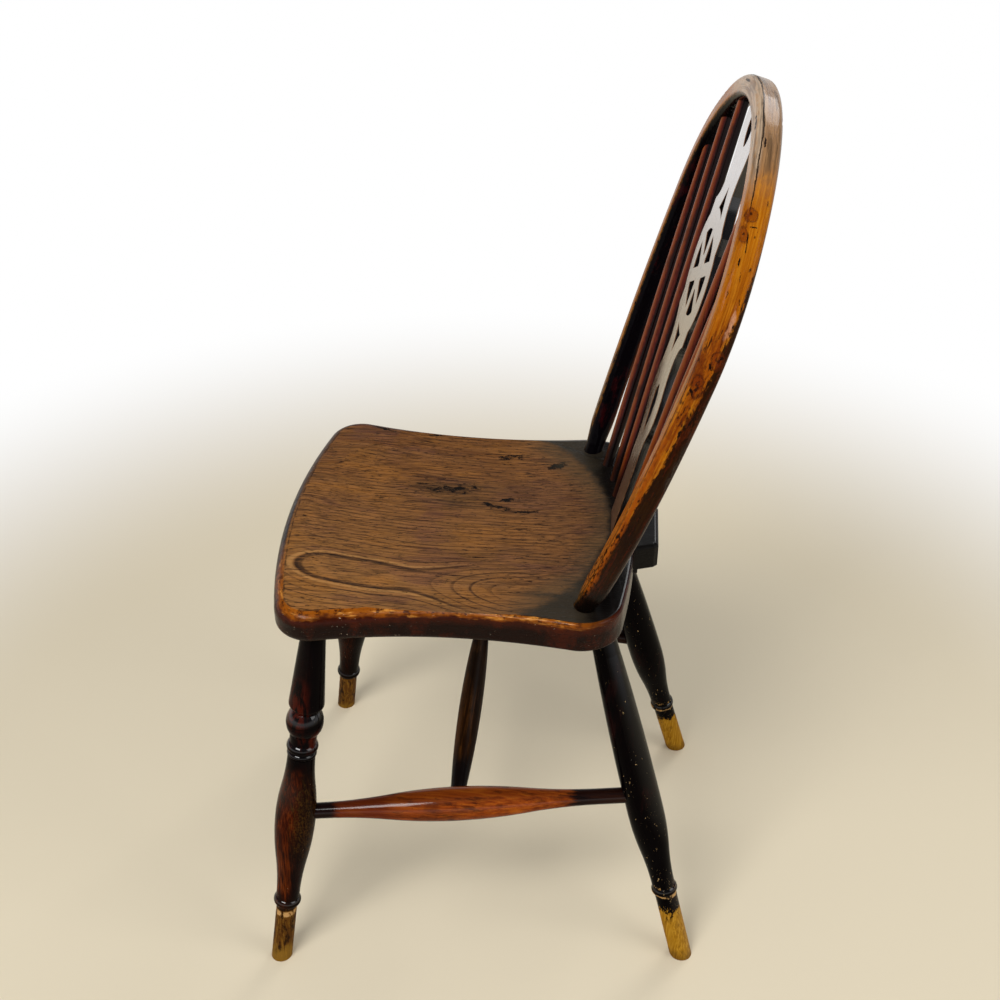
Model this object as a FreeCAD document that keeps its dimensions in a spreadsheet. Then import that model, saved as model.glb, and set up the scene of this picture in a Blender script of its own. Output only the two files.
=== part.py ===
import FreeCAD, Part
import math
import os

import Sketcher
from FreeCAD import Placement, Rotation, Vector

# Wheelback dining chair, millimetres.
# +Z is up, the sitter faces -Y, and +X is the sitter's left.
# The floor is z = 0 and the origin lies under the middle of the chair.

doc = FreeCAD.newDocument("wheelback_chair")
sheet = doc.addObject("Spreadsheet::Sheet", "Sizes")

SIZES = [
    # Seat board
    ("seat_height", 442),
    ("seat_thickness", 32),
    ("seat_front_reach", 213.7),
    ("seat_front_curve", 650),
    ("seat_front_corner", 34),
    ("seat_waist_half", 154.5),
    ("seat_waist_place", -12.7),
    ("seat_side_curve", 606),
    ("seat_rear_reach", 133.3),
    ("seat_rear_curve", 800),
    ("seat_rear_corner", 40),
    ("seat_roll_front", 13),
    ("seat_roll_rear", 4),
    ("seat_under_front", 8),
    ("seat_under_rear", 3),
    ("tail_root_half", 41),
    ("tail_end_half", 34.5),
    ("tail_reach", 155.3),
    ("tail_corner", 4),
    ("tail_under_step", 6),
    ("tail_under_setback", 3),
    # Hollow in the seat's top
    ("hollow_half_width", 172),
    ("hollow_half_length", 153),
    ("hollow_place", -44.7),
    ("hollow_depth", 8),
    ("hollow_ball_half_height", 100),
    # Bow
    ("bow_foot_half", 134),
    ("bow_foot_setback", 46),
    ("bow_lean_degrees", 16.6),
    ("bow_crown_rise", 157),
    ("bow_widest_half", 195),
    ("bow_widest_height", 285),
    ("bow_shoulder_curve", 125),
    ("bow_width", 20),
    ("bow_depth", 22),
    ("bow_edge_round", 6),
    ("bow_tenon_radius", 9.3),
    ("bow_rounding_start", 6),
    ("bow_rounding_length", 62),
    ("bow_rounding_radius", 15),
    ("wedge_length", 20),
    ("wedge_thick_end", 3.6),
    ("wedge_thin_end", 0.8),
    # Sticks
    ("stick_end_radius", 5.2),
    ("stick_middle_radius", 6.2),
    ("stick_seat_tenon", 18),
    ("stick_inner_tip_straight", 15),
    ("stick_middle_tip_straight", 19),
    ("stick_outer_tip_straight", 25),
    ("stick_inner_foot_half", 49),
    ("stick_inner_foot_setback", 19),
    ("stick_inner_top_inset", 98),
    ("stick_middle_foot_half", 78),
    ("stick_middle_foot_setback", 22),
    ("stick_middle_top_inset", 49),
    ("stick_outer_foot_half", 106),
    ("stick_outer_foot_setback", 30),
    ("stick_outer_top_inset", 16),
    # Splat
    ("splat_foot_setback", 20),
    ("splat_thickness", 9),
    ("splat_seat_tongue", 14),
    ("splat_bow_tongue", 7),
    ("splat_foot_half", 20.5),
    ("splat_foot_straight", 95),
    ("wheel_to_bow", 147.3),
    ("wheel_radius", 58),
    ("wheel_window_radius", 39),
    ("wheel_hub_radius", 15.5),
    ("wheel_spoke_width", 12.5),
    ("splat_ear_half", 44.6),
    ("splat_ear_end", 53),
    ("splat_neck_half", 27.5),
    ("splat_neck_place", 84),
    ("splat_bulge_half", 36),
    ("splat_bulge_place", 131),
    ("splat_top_half", 34),
    ("splat_top_straight", 5),
    ("spandrel_half", 13.5),
    ("spandrel_point", 82),
    ("spandrel_hollow", 95),
    ("slot_start", 117),
    ("slot_widest_place", 133),
    ("slot_end", 169),
    ("slot_half", 10.5),
    # Front legs
    ("front_socket_inset", 11.8),
    ("front_socket_setback", 52.3),
    ("front_splay_sideways", 53.3),
    ("front_splay_forwards", 53.3),
    ("front_foot_radius", 10.7),
    ("front_ring_place", 78),
    ("front_ring_radius", 14),
    ("front_ring_half", 5),
    ("front_waist_radius", 11.9),
    ("front_belly_place", 188),
    ("front_belly_radius", 20.3),
    ("front_collar_place", 266),
    ("front_collar_radius", 13.7),
    ("thin_bead_height", 6),
    ("thin_bead_curve", 3.6),
    ("thick_bead_height", 10),
    ("thick_bead_curve", 6.2),
    ("bead_root_radius", 13),
    ("ball_place", 292.5),
    ("ball_height", 27.5),
    ("ball_curve", 22.5),
    ("ball_root_radius", 13.6),
    ("shoulder_place", 323),
    ("shoulder_rise", 5),
    ("shoulder_radius", 17.3),
    ("shoulder_root_radius", 15.2),
    ("front_top_radius", 11.6),
    ("right_front_foot_wear", 13.5),
    # Rear legs
    ("rear_socket_inset", 71.3),
    ("rear_socket_setback", 37.7),
    ("rear_splay_sideways", 73.8),
    ("rear_splay_backwards", 110.7),
    ("rear_foot_radius", 11.3),
    ("rear_ring_place", 87),
    ("rear_ring_radius", 13.6),
    ("rear_ring_half", 4.5),
    ("rear_waist_radius", 11.8),
    ("rear_belly_place", 184.5),
    ("rear_belly_radius", 18.5),
    ("rear_neck_place", 373),
    ("rear_neck_radius", 13.1),
    ("rear_top_radius", 11.4),
    # Leg joints
    ("leg_tenon_length", 21),
    # Stretchers
    ("side_stretcher_front_height", 190),
    ("side_stretcher_rear_height", 195),
    ("side_end_radius", 8),
    ("side_belly_radius", 17),
    ("side_belly_place", 160),
    ("side_front_straight", 26),
    ("side_rear_straight", 45),
    ("cross_end_radius", 8),
    ("cross_middle_radius", 12.3),
    ("cross_end_straight", 24),
    # Fits
    ("joint_clearance", 0.15),
    ("socket_end_gap", 0.5),
]

for row, (name, value) in enumerate(SIZES, start=1):
    sheet.set("A%d" % row, name)
    sheet.set("B%d" % row, str(value))
    sheet.setAlias("B%d" % row, name)
doc.recompute()


class Size:
    """A length with the words that bind it to the sheet and its number."""

    def __init__(self, words, number):
        self.words = words
        self.number = number

    def join(self, other, sign, number, turned=False):
        other = other if isinstance(other, Size) else Size(repr(float(other)), other)
        first, last = (other, self) if turned else (self, other)
        words = "(%s %s %s)" % (first.words, sign, last.words)
        return Size(words, number(first.number, last.number))

    def __add__(self, other):
        return self.join(other, "+", lambda a, b: a + b)

    def __sub__(self, other):
        return self.join(other, "-", lambda a, b: a - b)

    def __mul__(self, other):
        return self.join(other, "*", lambda a, b: a * b)

    def __truediv__(self, other):
        return self.join(other, "/", lambda a, b: a / b)

    def __rsub__(self, other):
        return self.join(other, "-", lambda a, b: a - b, turned=True)

    def __neg__(self):
        return Size("(-1 * %s)" % self.words, -self.number)

    def root(self):
        return Size("sqrt(%s)" % self.words, math.sqrt(self.number))


def size(name):
    return Size("Sizes." + name, float(sheet.get(name)))


def worked(number):
    """A length worked out from others, where no simple formula binds it."""
    return Size(repr(float(number)), float(number))


def s_curve(near, far):
    """Radius of the two equal arcs of a soft S between points (radius, place)."""
    across = near[0] - far[0]
    along = near[1] - far[1]
    return (across * across + along * along) / (across * 4)


def plane(body, role):
    return [part for part in body.Origin.OriginFeatures if part.Role == role][0]


def new_sketch(body, name, role):
    sketch = body.newObject("Sketcher::SketchObject", name)
    sketch.AttachmentSupport = [(plane(body, role), "")]
    sketch.MapMode = "FlatFace"
    return sketch


def pin(sketch, shape, end, place):
    """Hold one end of a line or arc at a place, each part bound to the sheet."""
    for kind, value in (("DistanceX", place[0]), ("DistanceY", place[1])):
        if isinstance(value, Size):
            rule = Sketcher.Constraint(kind, -1, 1, shape, end, value.number)
            index = sketch.addConstraint(rule)
            sketch.setExpression("Constraints[%d]" % index, value.words)
        else:
            axis = -2 if kind == "DistanceX" else -1
            sketch.addConstraint(Sketcher.Constraint("PointOnObject", shape, end, axis))


def number(value):
    return value.number if isinstance(value, Size) else float(value)


def outline(sketch, points):
    """Closed outline. A point is (x, y) or (x, y, radius): a radius makes the run
    from it an arc, which bows to the right of the run, or to the left if negative."""
    spots = [Vector(number(point[0]), number(point[1]), 0) for point in points]
    ends = []
    for index, point in enumerate(points):
        start = spots[index]
        stop = spots[(index + 1) % len(spots)]
        if len(point) == 2:
            shape = sketch.addGeometry(Part.LineSegment(start, stop))
            ends.append((shape, 1, 2))
            pin(sketch, shape, 1, point)
            continue
        radius = abs(point[2].number)
        right = point[2].number > 0
        half = (stop - start) * 0.5
        side = Vector(half.y, -half.x, 0).normalize() * (1 if right else -1)
        rise = radius - math.sqrt(radius * radius - half.Length ** 2)
        middle = start + half + side * rise
        shape = sketch.addGeometry(Part.Arc(start, middle, stop))
        first, last = (1, 2) if right else (2, 1)
        ends.append((shape, first, last))
        pin(sketch, shape, first, point)
        rule = sketch.addConstraint(Sketcher.Constraint("Radius", shape, radius))
        words = point[2].words if right else "(-1 * %s)" % point[2].words
        sketch.setExpression("Constraints[%d]" % rule, words)
    for index, (shape, first, last) in enumerate(ends):
        after = ends[(index + 1) % len(ends)]
        rule = Sketcher.Constraint("Coincident", shape, last, after[0], after[1])
        sketch.addConstraint(rule)


def turned(name, points):
    """A turned piece: half outline (radius, place along the axis), spun about Z."""
    body = doc.addObject("PartDesign::Body", name)
    sketch = new_sketch(body, name + "_outline", "XZ_Plane")
    outline(sketch, points)
    spin = body.newObject("PartDesign::Revolution", name + "_spin")
    spin.Profile = sketch
    spin.ReferenceAxis = (sketch, ["V_Axis"])
    spin.Angle = 360
    return body


def along(start, stop):
    """Placement that carries the Z axis onto the way from start to stop."""
    return Placement(start, Rotation(Vector(0, 0, 1), stop - start))


def rod(name, radius, start, stop):
    """Plain round tool from start to stop."""
    tool = doc.addObject("Part::Cylinder", name)
    tool.setExpression("Radius", radius.words)
    tool.Height = (stop - start).Length
    tool.Placement = along(start, stop)
    return tool


def beyond(start, stop, extra):
    """The point that lies past stop on the way from start."""
    return stop + (stop - start).normalize() * extra


def cut(label, base, tools):
    for index, tool in enumerate(tools):
        step = doc.addObject("Part::Cut", "%s_cut_%d" % (label, index + 1))
        step.Base = base
        step.Tool = tool
        base = step
    return base


def mirrored(label, source):
    """The same piece on the sitter's right."""
    copy = doc.addObject("Part::Mirroring", label + "_mirror")
    copy.Source = source
    copy.Normal = Vector(1, 0, 0)
    return copy


def other_side(point):
    return Vector(-point.x, point.y, point.z)


clearance = size("joint_clearance")
end_gap = number(size("socket_end_gap"))
seat_top = size("seat_height")
thickness = size("seat_thickness")
seat_under = seat_top - thickness
top_z = number(seat_top)
under_z = number(seat_under)
pieces = {}

# Legs: where their axes run.
# Each goes from the middle of its foot on the floor to its socket under the seat.
# The sockets are set in from the seat's front, waist and back.
seat_waist = size("seat_waist_half")
seat_front = size("seat_front_reach")
seat_back = size("seat_rear_reach")
front_socket = Vector(
    number(seat_waist - size("front_socket_inset")),
    number(size("front_socket_setback") - seat_front),
    under_z,
)
front_foot = Vector(
    front_socket.x + number(size("front_splay_sideways")),
    front_socket.y - number(size("front_splay_forwards")),
    0,
)
rear_socket = Vector(
    number(seat_waist - size("rear_socket_inset")),
    number(seat_back - size("rear_socket_setback")),
    under_z,
)
rear_foot = Vector(
    rear_socket.x + number(size("rear_splay_sideways")),
    rear_socket.y + number(size("rear_splay_backwards")),
    0,
)
leg_tenon = size("leg_tenon_length")
front_length = worked((front_socket - front_foot).Length)
rear_length = worked((rear_socket - rear_foot).Length)


def leg_point(foot, socket, height):
    return foot + (socket - foot) * (height / under_z)


# Side stretchers run from the front leg's axis to the rear leg's axis.
# The cross stretcher joins them at their bellies.
side_front = leg_point(
    front_foot, front_socket, number(size("side_stretcher_front_height")))
side_rear = leg_point(
    rear_foot, rear_socket, number(size("side_stretcher_rear_height")))
side_length = worked((side_rear - side_front).Length)
side_way = (side_rear - side_front).normalize()
cross_end = side_front + side_way * number(size("side_belly_place"))
cross_length = worked(2 * cross_end.x)

# Floor and underside blocks, which trim the feet and the bow's tenons flush.
reach = worked(4 * max(front_foot.Length, rear_foot.Length))
floor_block = doc.addObject("Part::Box", "floor_block")
seat_block = doc.addObject("Part::Box", "under_seat_block")
for block in (floor_block, seat_block):
    block.Length = reach.number
    block.Width = reach.number
    block.setExpression("Height", thickness.words)
half_reach = reach.number / 2
floor_block.Placement.Base = Vector(-half_reach, -half_reach, -number(thickness))
seat_block.Placement.Base = Vector(-half_reach, -half_reach, under_z - number(thickness))

# Side stretchers: slim turned bars with a fat belly a little in front of the middle.
side_end = size("side_end_radius")
side_belly = (size("side_belly_radius"), size("side_belly_place"))
side_near = (side_end, size("side_front_straight"))
side_far = (side_end, side_length - size("side_rear_straight"))
near_curve = s_curve(side_belly, side_near)
far_curve = s_curve(side_belly, side_far)
near_middle = ((side_belly[0] + side_near[0]) / 2, (side_belly[1] + side_near[1]) / 2)
far_middle = ((side_belly[0] + side_far[0]) / 2, (side_belly[1] + side_far[1]) / 2)
side_bar = turned("side_stretcher_left", [
    (0, 0),
    (side_end, 0),
    (side_near[0], side_near[1], -near_curve),
    (near_middle[0], near_middle[1], near_curve),
    (side_belly[0], side_belly[1], far_curve),
    (far_middle[0], far_middle[1], -far_curve),
    (side_far[0], side_far[1]),
    (side_end, side_length),
    (0, side_length),
])
side_bar.Placement = along(side_front, side_rear)

# Cross stretcher: a gentle swelling towards the middle, from belly to belly.
cross_radius = size("cross_end_radius")
cross_straight = size("cross_end_straight")
cross_rise = size("cross_middle_radius") - cross_radius
cross_run = cross_length / 2 - cross_straight
cross_curve = (cross_run * cross_run + cross_rise * cross_rise) / (cross_rise * 2)
cross_bar = turned("cross_stretcher", [
    (0, 0),
    (cross_radius, 0),
    (cross_radius, cross_straight, cross_curve),
    (cross_radius, cross_length - cross_straight),
    (cross_radius, cross_length),
    (0, cross_length),
])
cross_bar.Placement = along(cross_end, other_side(cross_end))
pieces["cross_stretcher"] = cross_bar

# The cross stretcher's ends sit in blind sockets in the side stretchers' bellies.
cross_socket = rod(
    "cross_socket",
    cross_radius + clearance,
    beyond(other_side(cross_end), cross_end, end_gap),
    cross_end - Vector(2 * number(side_belly[0]), 0, 0),
)
side_left = cut("side_stretcher_left", side_bar, [cross_socket])
pieces["side_stretcher_left"] = side_left
pieces["side_stretcher_right"] = mirrored("side_stretcher_right", side_left)

# Front legs: a plain foot, an ankle ring, a long belly, two beads, a ball
# and a cone that narrows into the seat.
front_ring = size("front_ring_place")
front_ring_half = size("front_ring_half")
front_waist = (size("front_waist_radius"), front_ring + front_ring_half)
front_belly = (size("front_belly_radius"), size("front_belly_place"))
front_collar = (size("front_collar_radius"), size("front_collar_place"))
thin_top = front_collar[1] + size("thin_bead_height")
thick_top = thin_top + size("thick_bead_height")
ball_bottom = size("ball_place")
ball_top = ball_bottom + size("ball_height")
shoulder = size("shoulder_place")
shoulder_top = shoulder + size("shoulder_rise")
bead_root = size("bead_root_radius")


def halfway(near, far):
    return ((near[0] + far[0]) / 2, (near[1] + far[1]) / 2)


def ring_curve(ring, foot, waist, half):
    """Radius of the ring's round edge between the foot and the waist above it."""
    rise = ring - (foot + waist) / 2
    return (half * half + rise * rise) / (rise * 2)


def front_leg(label, side, wear):
    """wear is how much shorter the foot is than the better kept one."""
    foot_radius = size("front_foot_radius")
    ring_arc = ring_curve(
        size("front_ring_radius"), foot_radius, front_waist[0], front_ring_half)
    low_curve = s_curve(front_belly, front_waist)
    high_curve = s_curve(front_belly, front_collar)
    low = halfway(front_belly, front_waist)
    high = halfway(front_belly, front_collar)
    shoulder_run = size("shoulder_radius") - size("shoulder_root_radius")
    rise = size("shoulder_rise")
    shoulder_curve = (rise * rise + shoulder_run * shoulder_run) / (shoulder_run * 2)
    leg = turned(label, [
        (0, -thickness / 2),
        (foot_radius, -thickness / 2),
        (foot_radius, front_ring - front_ring_half - wear, ring_arc),
        (front_waist[0], front_waist[1] - wear, -low_curve),
        (low[0], low[1] - wear, low_curve),
        (front_belly[0], front_belly[1] - wear, high_curve),
        (high[0], high[1] - wear, -high_curve),
        (front_collar[0], front_collar[1] - wear),
        (bead_root, front_collar[1] - wear, size("thin_bead_curve")),
        (bead_root, thin_top - wear, size("thick_bead_curve")),
        (bead_root, thick_top - wear),
        (size("ball_root_radius"), ball_bottom - wear, size("ball_curve")),
        (size("ball_root_radius"), ball_top - wear),
        (size("shoulder_root_radius"), shoulder - wear, shoulder_curve),
        (size("shoulder_radius"), shoulder_top - wear),
        (size("front_top_radius"), front_length - thickness / 4),
        (size("front_top_radius"), front_length + leg_tenon),
        (0, front_length + leg_tenon),
    ])
    foot = front_foot if side > 0 else other_side(front_foot)
    socket = front_socket if side > 0 else other_side(front_socket)
    start = side_front if side > 0 else other_side(side_front)
    stop = side_rear if side > 0 else other_side(side_rear)
    leg.Placement = along(foot, socket)
    bore = rod(
        label + "_stretcher_socket",
        side_end + clearance,
        beyond(stop, start, end_gap),
        start + (stop - start).normalize() * (2 * number(front_belly[0])),
    )
    return cut(label, leg, [floor_block, bore])


pieces["front_leg_left"] = front_leg("front_leg_left", 1, worked(0))
pieces["front_leg_right"] = front_leg("front_leg_right", -1, size("right_front_foot_wear"))

# Rear legs: a plain foot, an ankle ring, a belly and a long taper into the seat.
rear_foot_radius = size("rear_foot_radius")
rear_ring = size("rear_ring_place")
rear_ring_half = size("rear_ring_half")
rear_waist = (size("rear_waist_radius"), rear_ring + rear_ring_half)
rear_belly = (size("rear_belly_radius"), size("rear_belly_place"))
rear_neck = (size("rear_neck_radius"), size("rear_neck_place"))
rear_low = halfway(rear_belly, rear_waist)
rear_low_curve = s_curve(rear_belly, rear_waist)
rear_fall = rear_belly[0] - rear_neck[0]
rear_run = rear_neck[1] - rear_belly[1]
rear_high_curve = (rear_fall * rear_fall + rear_run * rear_run) / (rear_fall * 2)
rear_ring_arc = ring_curve(
    size("rear_ring_radius"), rear_foot_radius, rear_waist[0], rear_ring_half)
rear_turning = turned("rear_leg_left", [
    (0, -thickness / 2),
    (rear_foot_radius, -thickness / 2),
    (rear_foot_radius, rear_ring - rear_ring_half, rear_ring_arc),
    (rear_waist[0], rear_waist[1], -rear_low_curve),
    (rear_low[0], rear_low[1], rear_low_curve),
    (rear_belly[0], rear_belly[1], rear_high_curve),
    (rear_neck[0], rear_neck[1]),
    (size("rear_top_radius"), rear_length - thickness / 4),
    (size("rear_top_radius"), rear_length + leg_tenon),
    (0, rear_length + leg_tenon),
])
rear_turning.Placement = along(rear_foot, rear_socket)
rear_bore = rod(
    "rear_leg_stretcher_socket",
    side_end + clearance,
    beyond(side_front, side_rear, end_gap),
    side_rear - side_way * (2 * number(rear_belly[0])),
)
rear_left = cut("rear_leg_left", rear_turning, [floor_block, rear_bore])
pieces["rear_leg_left"] = rear_left
pieces["rear_leg_right"] = mirrored("rear_leg_right", rear_left)

# Bow: one bent rail in a plane that leans back from the seat.
# Its middle line is a crown arc, two shoulder arcs and two long leg arcs.
lean = math.radians(number(size("bow_lean_degrees")))
foot_half = number(size("bow_foot_half"))
widest = number(size("bow_widest_half"))
widest_up = number(size("bow_widest_height"))
crown_height = size("bow_widest_height") + size("bow_crown_rise")
crown = number(crown_height)
shoulder_r = number(size("bow_shoulder_curve"))
leg_r = ((widest - foot_half) ** 2 + widest_up ** 2) / (2 * (widest - foot_half))
shoulder_x = widest - shoulder_r
crown_r = (shoulder_x ** 2 + (crown - widest_up) ** 2 - shoulder_r ** 2) / (
    2 * (crown - widest_up - shoulder_r))
bow_foot_y = number(seat_back - size("bow_foot_setback"))
bow_frame = Placement(
    Vector(0, bow_foot_y, top_z), Rotation(Vector(1, 0, 0), -math.degrees(lean)))
meet_way = Vector(shoulder_x, widest_up - crown + crown_r, 0).normalize()
crown_meets = Vector(0, crown - crown_r, 0) + meet_way * crown_r


def bow_point(across, inwards=0.0):
    """Point on the bow's middle line at a half width, or nearer the opening."""
    if across <= crown_meets.x:
        up = crown - crown_r + math.sqrt((crown_r - inwards) ** 2 - across ** 2)
    else:
        inner = (shoulder_r - inwards) ** 2 - (across - shoulder_x) ** 2
        up = widest_up + math.sqrt(inner)
    return bow_frame.multVec(Vector(across, 0, up))


bow_bar = doc.addObject("PartDesign::Body", "bow_bar")
path = new_sketch(bow_bar, "bow_path", "XZ_Plane")
crown_centre = Vector(0, crown - crown_r, 0)
shoulder_centre = Vector(shoulder_x, widest_up, 0)
leg_centre = Vector(widest - leg_r, widest_up, 0)
foot = Vector(foot_half, 0, 0)
foot_way = Vector(-(widest_up / leg_r), -(foot_half - leg_centre.x) / leg_r, 0)
tenon_run = 2 * number(thickness)


def arc_between(centre, radius, start, stop):
    middle = ((start - centre) + (stop - centre)).normalize() * radius + centre
    return Part.Arc(start, middle, stop)


top_point = Vector(0, crown, 0)
side_point = Vector(widest, widest_up, 0)
crown_arc = path.addGeometry(arc_between(crown_centre, crown_r, top_point, crown_meets))
shoulder_arc = path.addGeometry(
    arc_between(shoulder_centre, shoulder_r, crown_meets, side_point))
leg_arc = path.addGeometry(arc_between(leg_centre, leg_r, side_point, foot))
tenon_line = path.addGeometry(Part.LineSegment(foot, foot + foot_way * tenon_run))
# The arcs run anticlockwise, so each ends where the one before it starts.
pin(path, crown_arc, 2, (0, crown_height))
path.addConstraint(Sketcher.Constraint("PointOnObject", crown_arc, 3, -2))
path.addConstraint(Sketcher.Constraint("Tangent", crown_arc, 1, shoulder_arc, 2))
pin(path, shoulder_arc, 1, (size("bow_widest_half"), size("bow_widest_height")))
pin(path, shoulder_arc, 3, (
    size("bow_widest_half") - size("bow_shoulder_curve"), size("bow_widest_height")))
path.addConstraint(Sketcher.Constraint("Tangent", shoulder_arc, 1, leg_arc, 2))
pin(path, leg_arc, 1, (size("bow_foot_half"), 0))
path.addConstraint(Sketcher.Constraint("Tangent", leg_arc, 1, tenon_line, 1))
rule = path.addConstraint(Sketcher.Constraint("Distance", tenon_line, tenon_run))
path.setExpression("Constraints[%d]" % rule, (thickness * 2).words)

section = new_sketch(bow_bar, "bow_section", "YZ_Plane")
half_depth = size("bow_depth") / 2
half_width = size("bow_width") / 2
edge = size("bow_edge_round")
middle_up = crown_height
outline(section, [
    (-half_depth, middle_up - half_width + edge, edge),
    (-half_depth + edge, middle_up - half_width),
    (half_depth - edge, middle_up - half_width, edge),
    (half_depth, middle_up - half_width + edge),
    (half_depth, middle_up + half_width - edge, edge),
    (half_depth - edge, middle_up + half_width),
    (-half_depth + edge, middle_up + half_width, edge),
    (-half_depth, middle_up + half_width - edge),
])
pipe = bow_bar.newObject("PartDesign::AdditivePipe", "bow_pipe")
pipe.Profile = (section, [""])
pipe.Spine = (path, ["Edge1", "Edge2", "Edge3", "Edge4"])
other_half = bow_bar.newObject("PartDesign::Mirrored", "bow_other_half")
other_half.Originals = [pipe]
other_half.MirrorPlane = (plane(bow_bar, "YZ_Plane"), [""])
bow_bar.Tip = other_half
bow_bar.Placement = bow_frame

# The bow's feet are shaved round and go through the seat as round tenons.
bow_foot = bow_frame.multVec(Vector(foot_half, 0, 0))
bow_down = bow_frame.Rotation.multVec(Vector(foot_way.x, 0, foot_way.y))
tenon_radius = size("bow_tenon_radius")
shave_start = size("bow_rounding_start")
shave_end = shave_start + size("bow_rounding_length")
shave_radius = size("bow_rounding_radius")
outside = size("bow_depth") * 2
shaving = turned("bow_foot_shaving", [
    (tenon_radius, thickness * -3),
    (outside, thickness * -3),
    (outside, shave_end),
    (shave_radius, shave_end),
    (tenon_radius, shave_start),
])
shaving.Placement = along(bow_foot, bow_foot - bow_down)
shaving_right = mirrored("bow_foot_shaving_right", shaving)

# Wedges: one in each bow tenon, driven from below and trimmed flush.
drop = number(thickness) / -bow_down.z
tenon_exit = bow_foot + bow_down * drop
wedge_blank = doc.addObject("PartDesign::Body", "wedge_blank")
wedge_outline = new_sketch(wedge_blank, "wedge_outline", "YZ_Plane")
wedge_length = size("wedge_length")
thick_half = size("wedge_thick_end") / 2
thin_half = size("wedge_thin_end") / 2
outline(wedge_outline, [
    (-thick_half, -wedge_length),
    (thick_half, -wedge_length),
    (thin_half, wedge_length),
    (-thin_half, wedge_length),
])
wedge_pad = wedge_blank.newObject("PartDesign::Pad", "wedge_pad")
wedge_pad.Profile = wedge_outline
wedge_pad.Midplane = True
wedge_pad.setExpression("Length", (tenon_radius * 3).words)
wedge_blank.Placement = along(tenon_exit, bow_foot)
wedge_round = rod(
    "wedge_round",
    tenon_radius,
    tenon_exit + bow_down * (2 * number(wedge_length)),
    bow_foot,
)
wedge_common = doc.addObject("Part::Common", "bow_wedge_left_common")
wedge_common.Base = wedge_blank
wedge_common.Tool = wedge_round
wedge_left = cut("bow_wedge_left", wedge_common, [seat_block])
pieces["bow_wedge_left"] = wedge_left
pieces["bow_wedge_right"] = mirrored("bow_wedge_right", wedge_left)
wedge_kerf_right = mirrored("wedge_kerf_right", wedge_blank)

# Sticks: three a side, straight and slightly fuller in the middle.
# Their feet stand in the seat and their tips in the bow's inner face.
stick_tools = []
bow_tools = []
stick_end = size("stick_end_radius")
stick_full = size("stick_middle_radius")
seat_tenon = size("stick_seat_tenon")
for place in ("inner", "middle", "outer"):
    stick_foot = Vector(
        number(size("stick_%s_foot_half" % place)),
        number(seat_back - size("stick_%s_foot_setback" % place)),
        top_z,
    )
    top_inset = size("stick_%s_top_inset" % place)
    stick_tip = bow_point(widest - number(top_inset))
    long = worked((stick_tip - stick_foot).Length)
    label = "stick_%s_left" % place
    bar_start = stick_end
    tip = size("stick_%s_tip_straight" % place)
    bar_stop = long - tip
    bar_half = (bar_stop - bar_start) / 2
    bar_rise = stick_full - stick_end
    bar_curve = (bar_half * bar_half + bar_rise * bar_rise) / (bar_rise * 2)
    stick = turned(label, [
        (0, -seat_tenon),
        (stick_end, -seat_tenon),
        (stick_end, bar_start, bar_curve),
        (stick_end, bar_stop),
        (stick_end, long),
        (0, long),
    ])
    stick.Placement = along(stick_foot, stick_tip)
    pieces[label] = stick
    pieces["stick_%s_right" % place] = mirrored("stick_%s_right" % place, stick)
    low_end = beyond(stick_tip, stick_foot, number(seat_tenon) + end_gap)
    high_end = beyond(stick_foot, stick_tip, end_gap)
    for side, turn in (("left", Vector), ("right", other_side)):
        stick_tools.append(rod(
            "stick_%s_%s_seat_hole" % (place, side),
            stick_end + clearance,
            turn(low_end),
            turn(stick_foot + (stick_tip - stick_foot).normalize() * stick_end.number * 2),
        ))
        bow_tools.append(rod(
            "stick_%s_%s_bow_hole" % (place, side),
            stick_end + clearance,
            turn(beyond(stick_foot, stick_tip, -number(tip))),
            turn(high_end),
        ))

# Splat: a flat board with a pierced wheel, sawn to shape on both edges.
# It stands in a mortise in the seat and ends in two mortises in the bow.
splat_foot = Vector(0, number(seat_back - size("splat_foot_setback")), top_z)
splat_top = bow_point(0.0, number(half_width))
splat_length = worked((splat_top - splat_foot).Length)
splat_frame = along(splat_foot, splat_top)
wheel = splat_length - size("wheel_to_bow")
tongue = size("splat_seat_tongue")
top_tongue = size("splat_bow_tongue")
foot_wide = size("splat_foot_half")
wheel_radius = size("wheel_radius")
ear = size("splat_ear_half")
ear_turn = (wheel_radius * wheel_radius - ear * ear).root()
ear_end = size("splat_ear_end")
neck = (size("splat_neck_half"), size("splat_neck_place"))
bulge = (size("splat_bulge_half"), size("splat_bulge_place"))
top_half = size("splat_top_half")
straight = size("splat_top_straight")
taper = (foot_wide, wheel - size("splat_foot_straight"))
neck_curve = s_curve(bulge, neck)
bulge_curve = s_curve(bulge, taper)
ear_out = ear - neck[0]
ear_run = neck[1] - ear_end
ear_curve = (ear_out * ear_out + ear_run * ear_run) / (ear_out * 2)
neck_middle = halfway(bulge, neck)
bulge_middle = halfway(bulge, taper)
top_place = splat_length - wheel - straight
top_fall = bulge[0] - top_half
top_run = top_place - bulge[1]
top_curve = (top_fall * top_fall + top_run * top_run) / (top_fall * 2)

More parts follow.
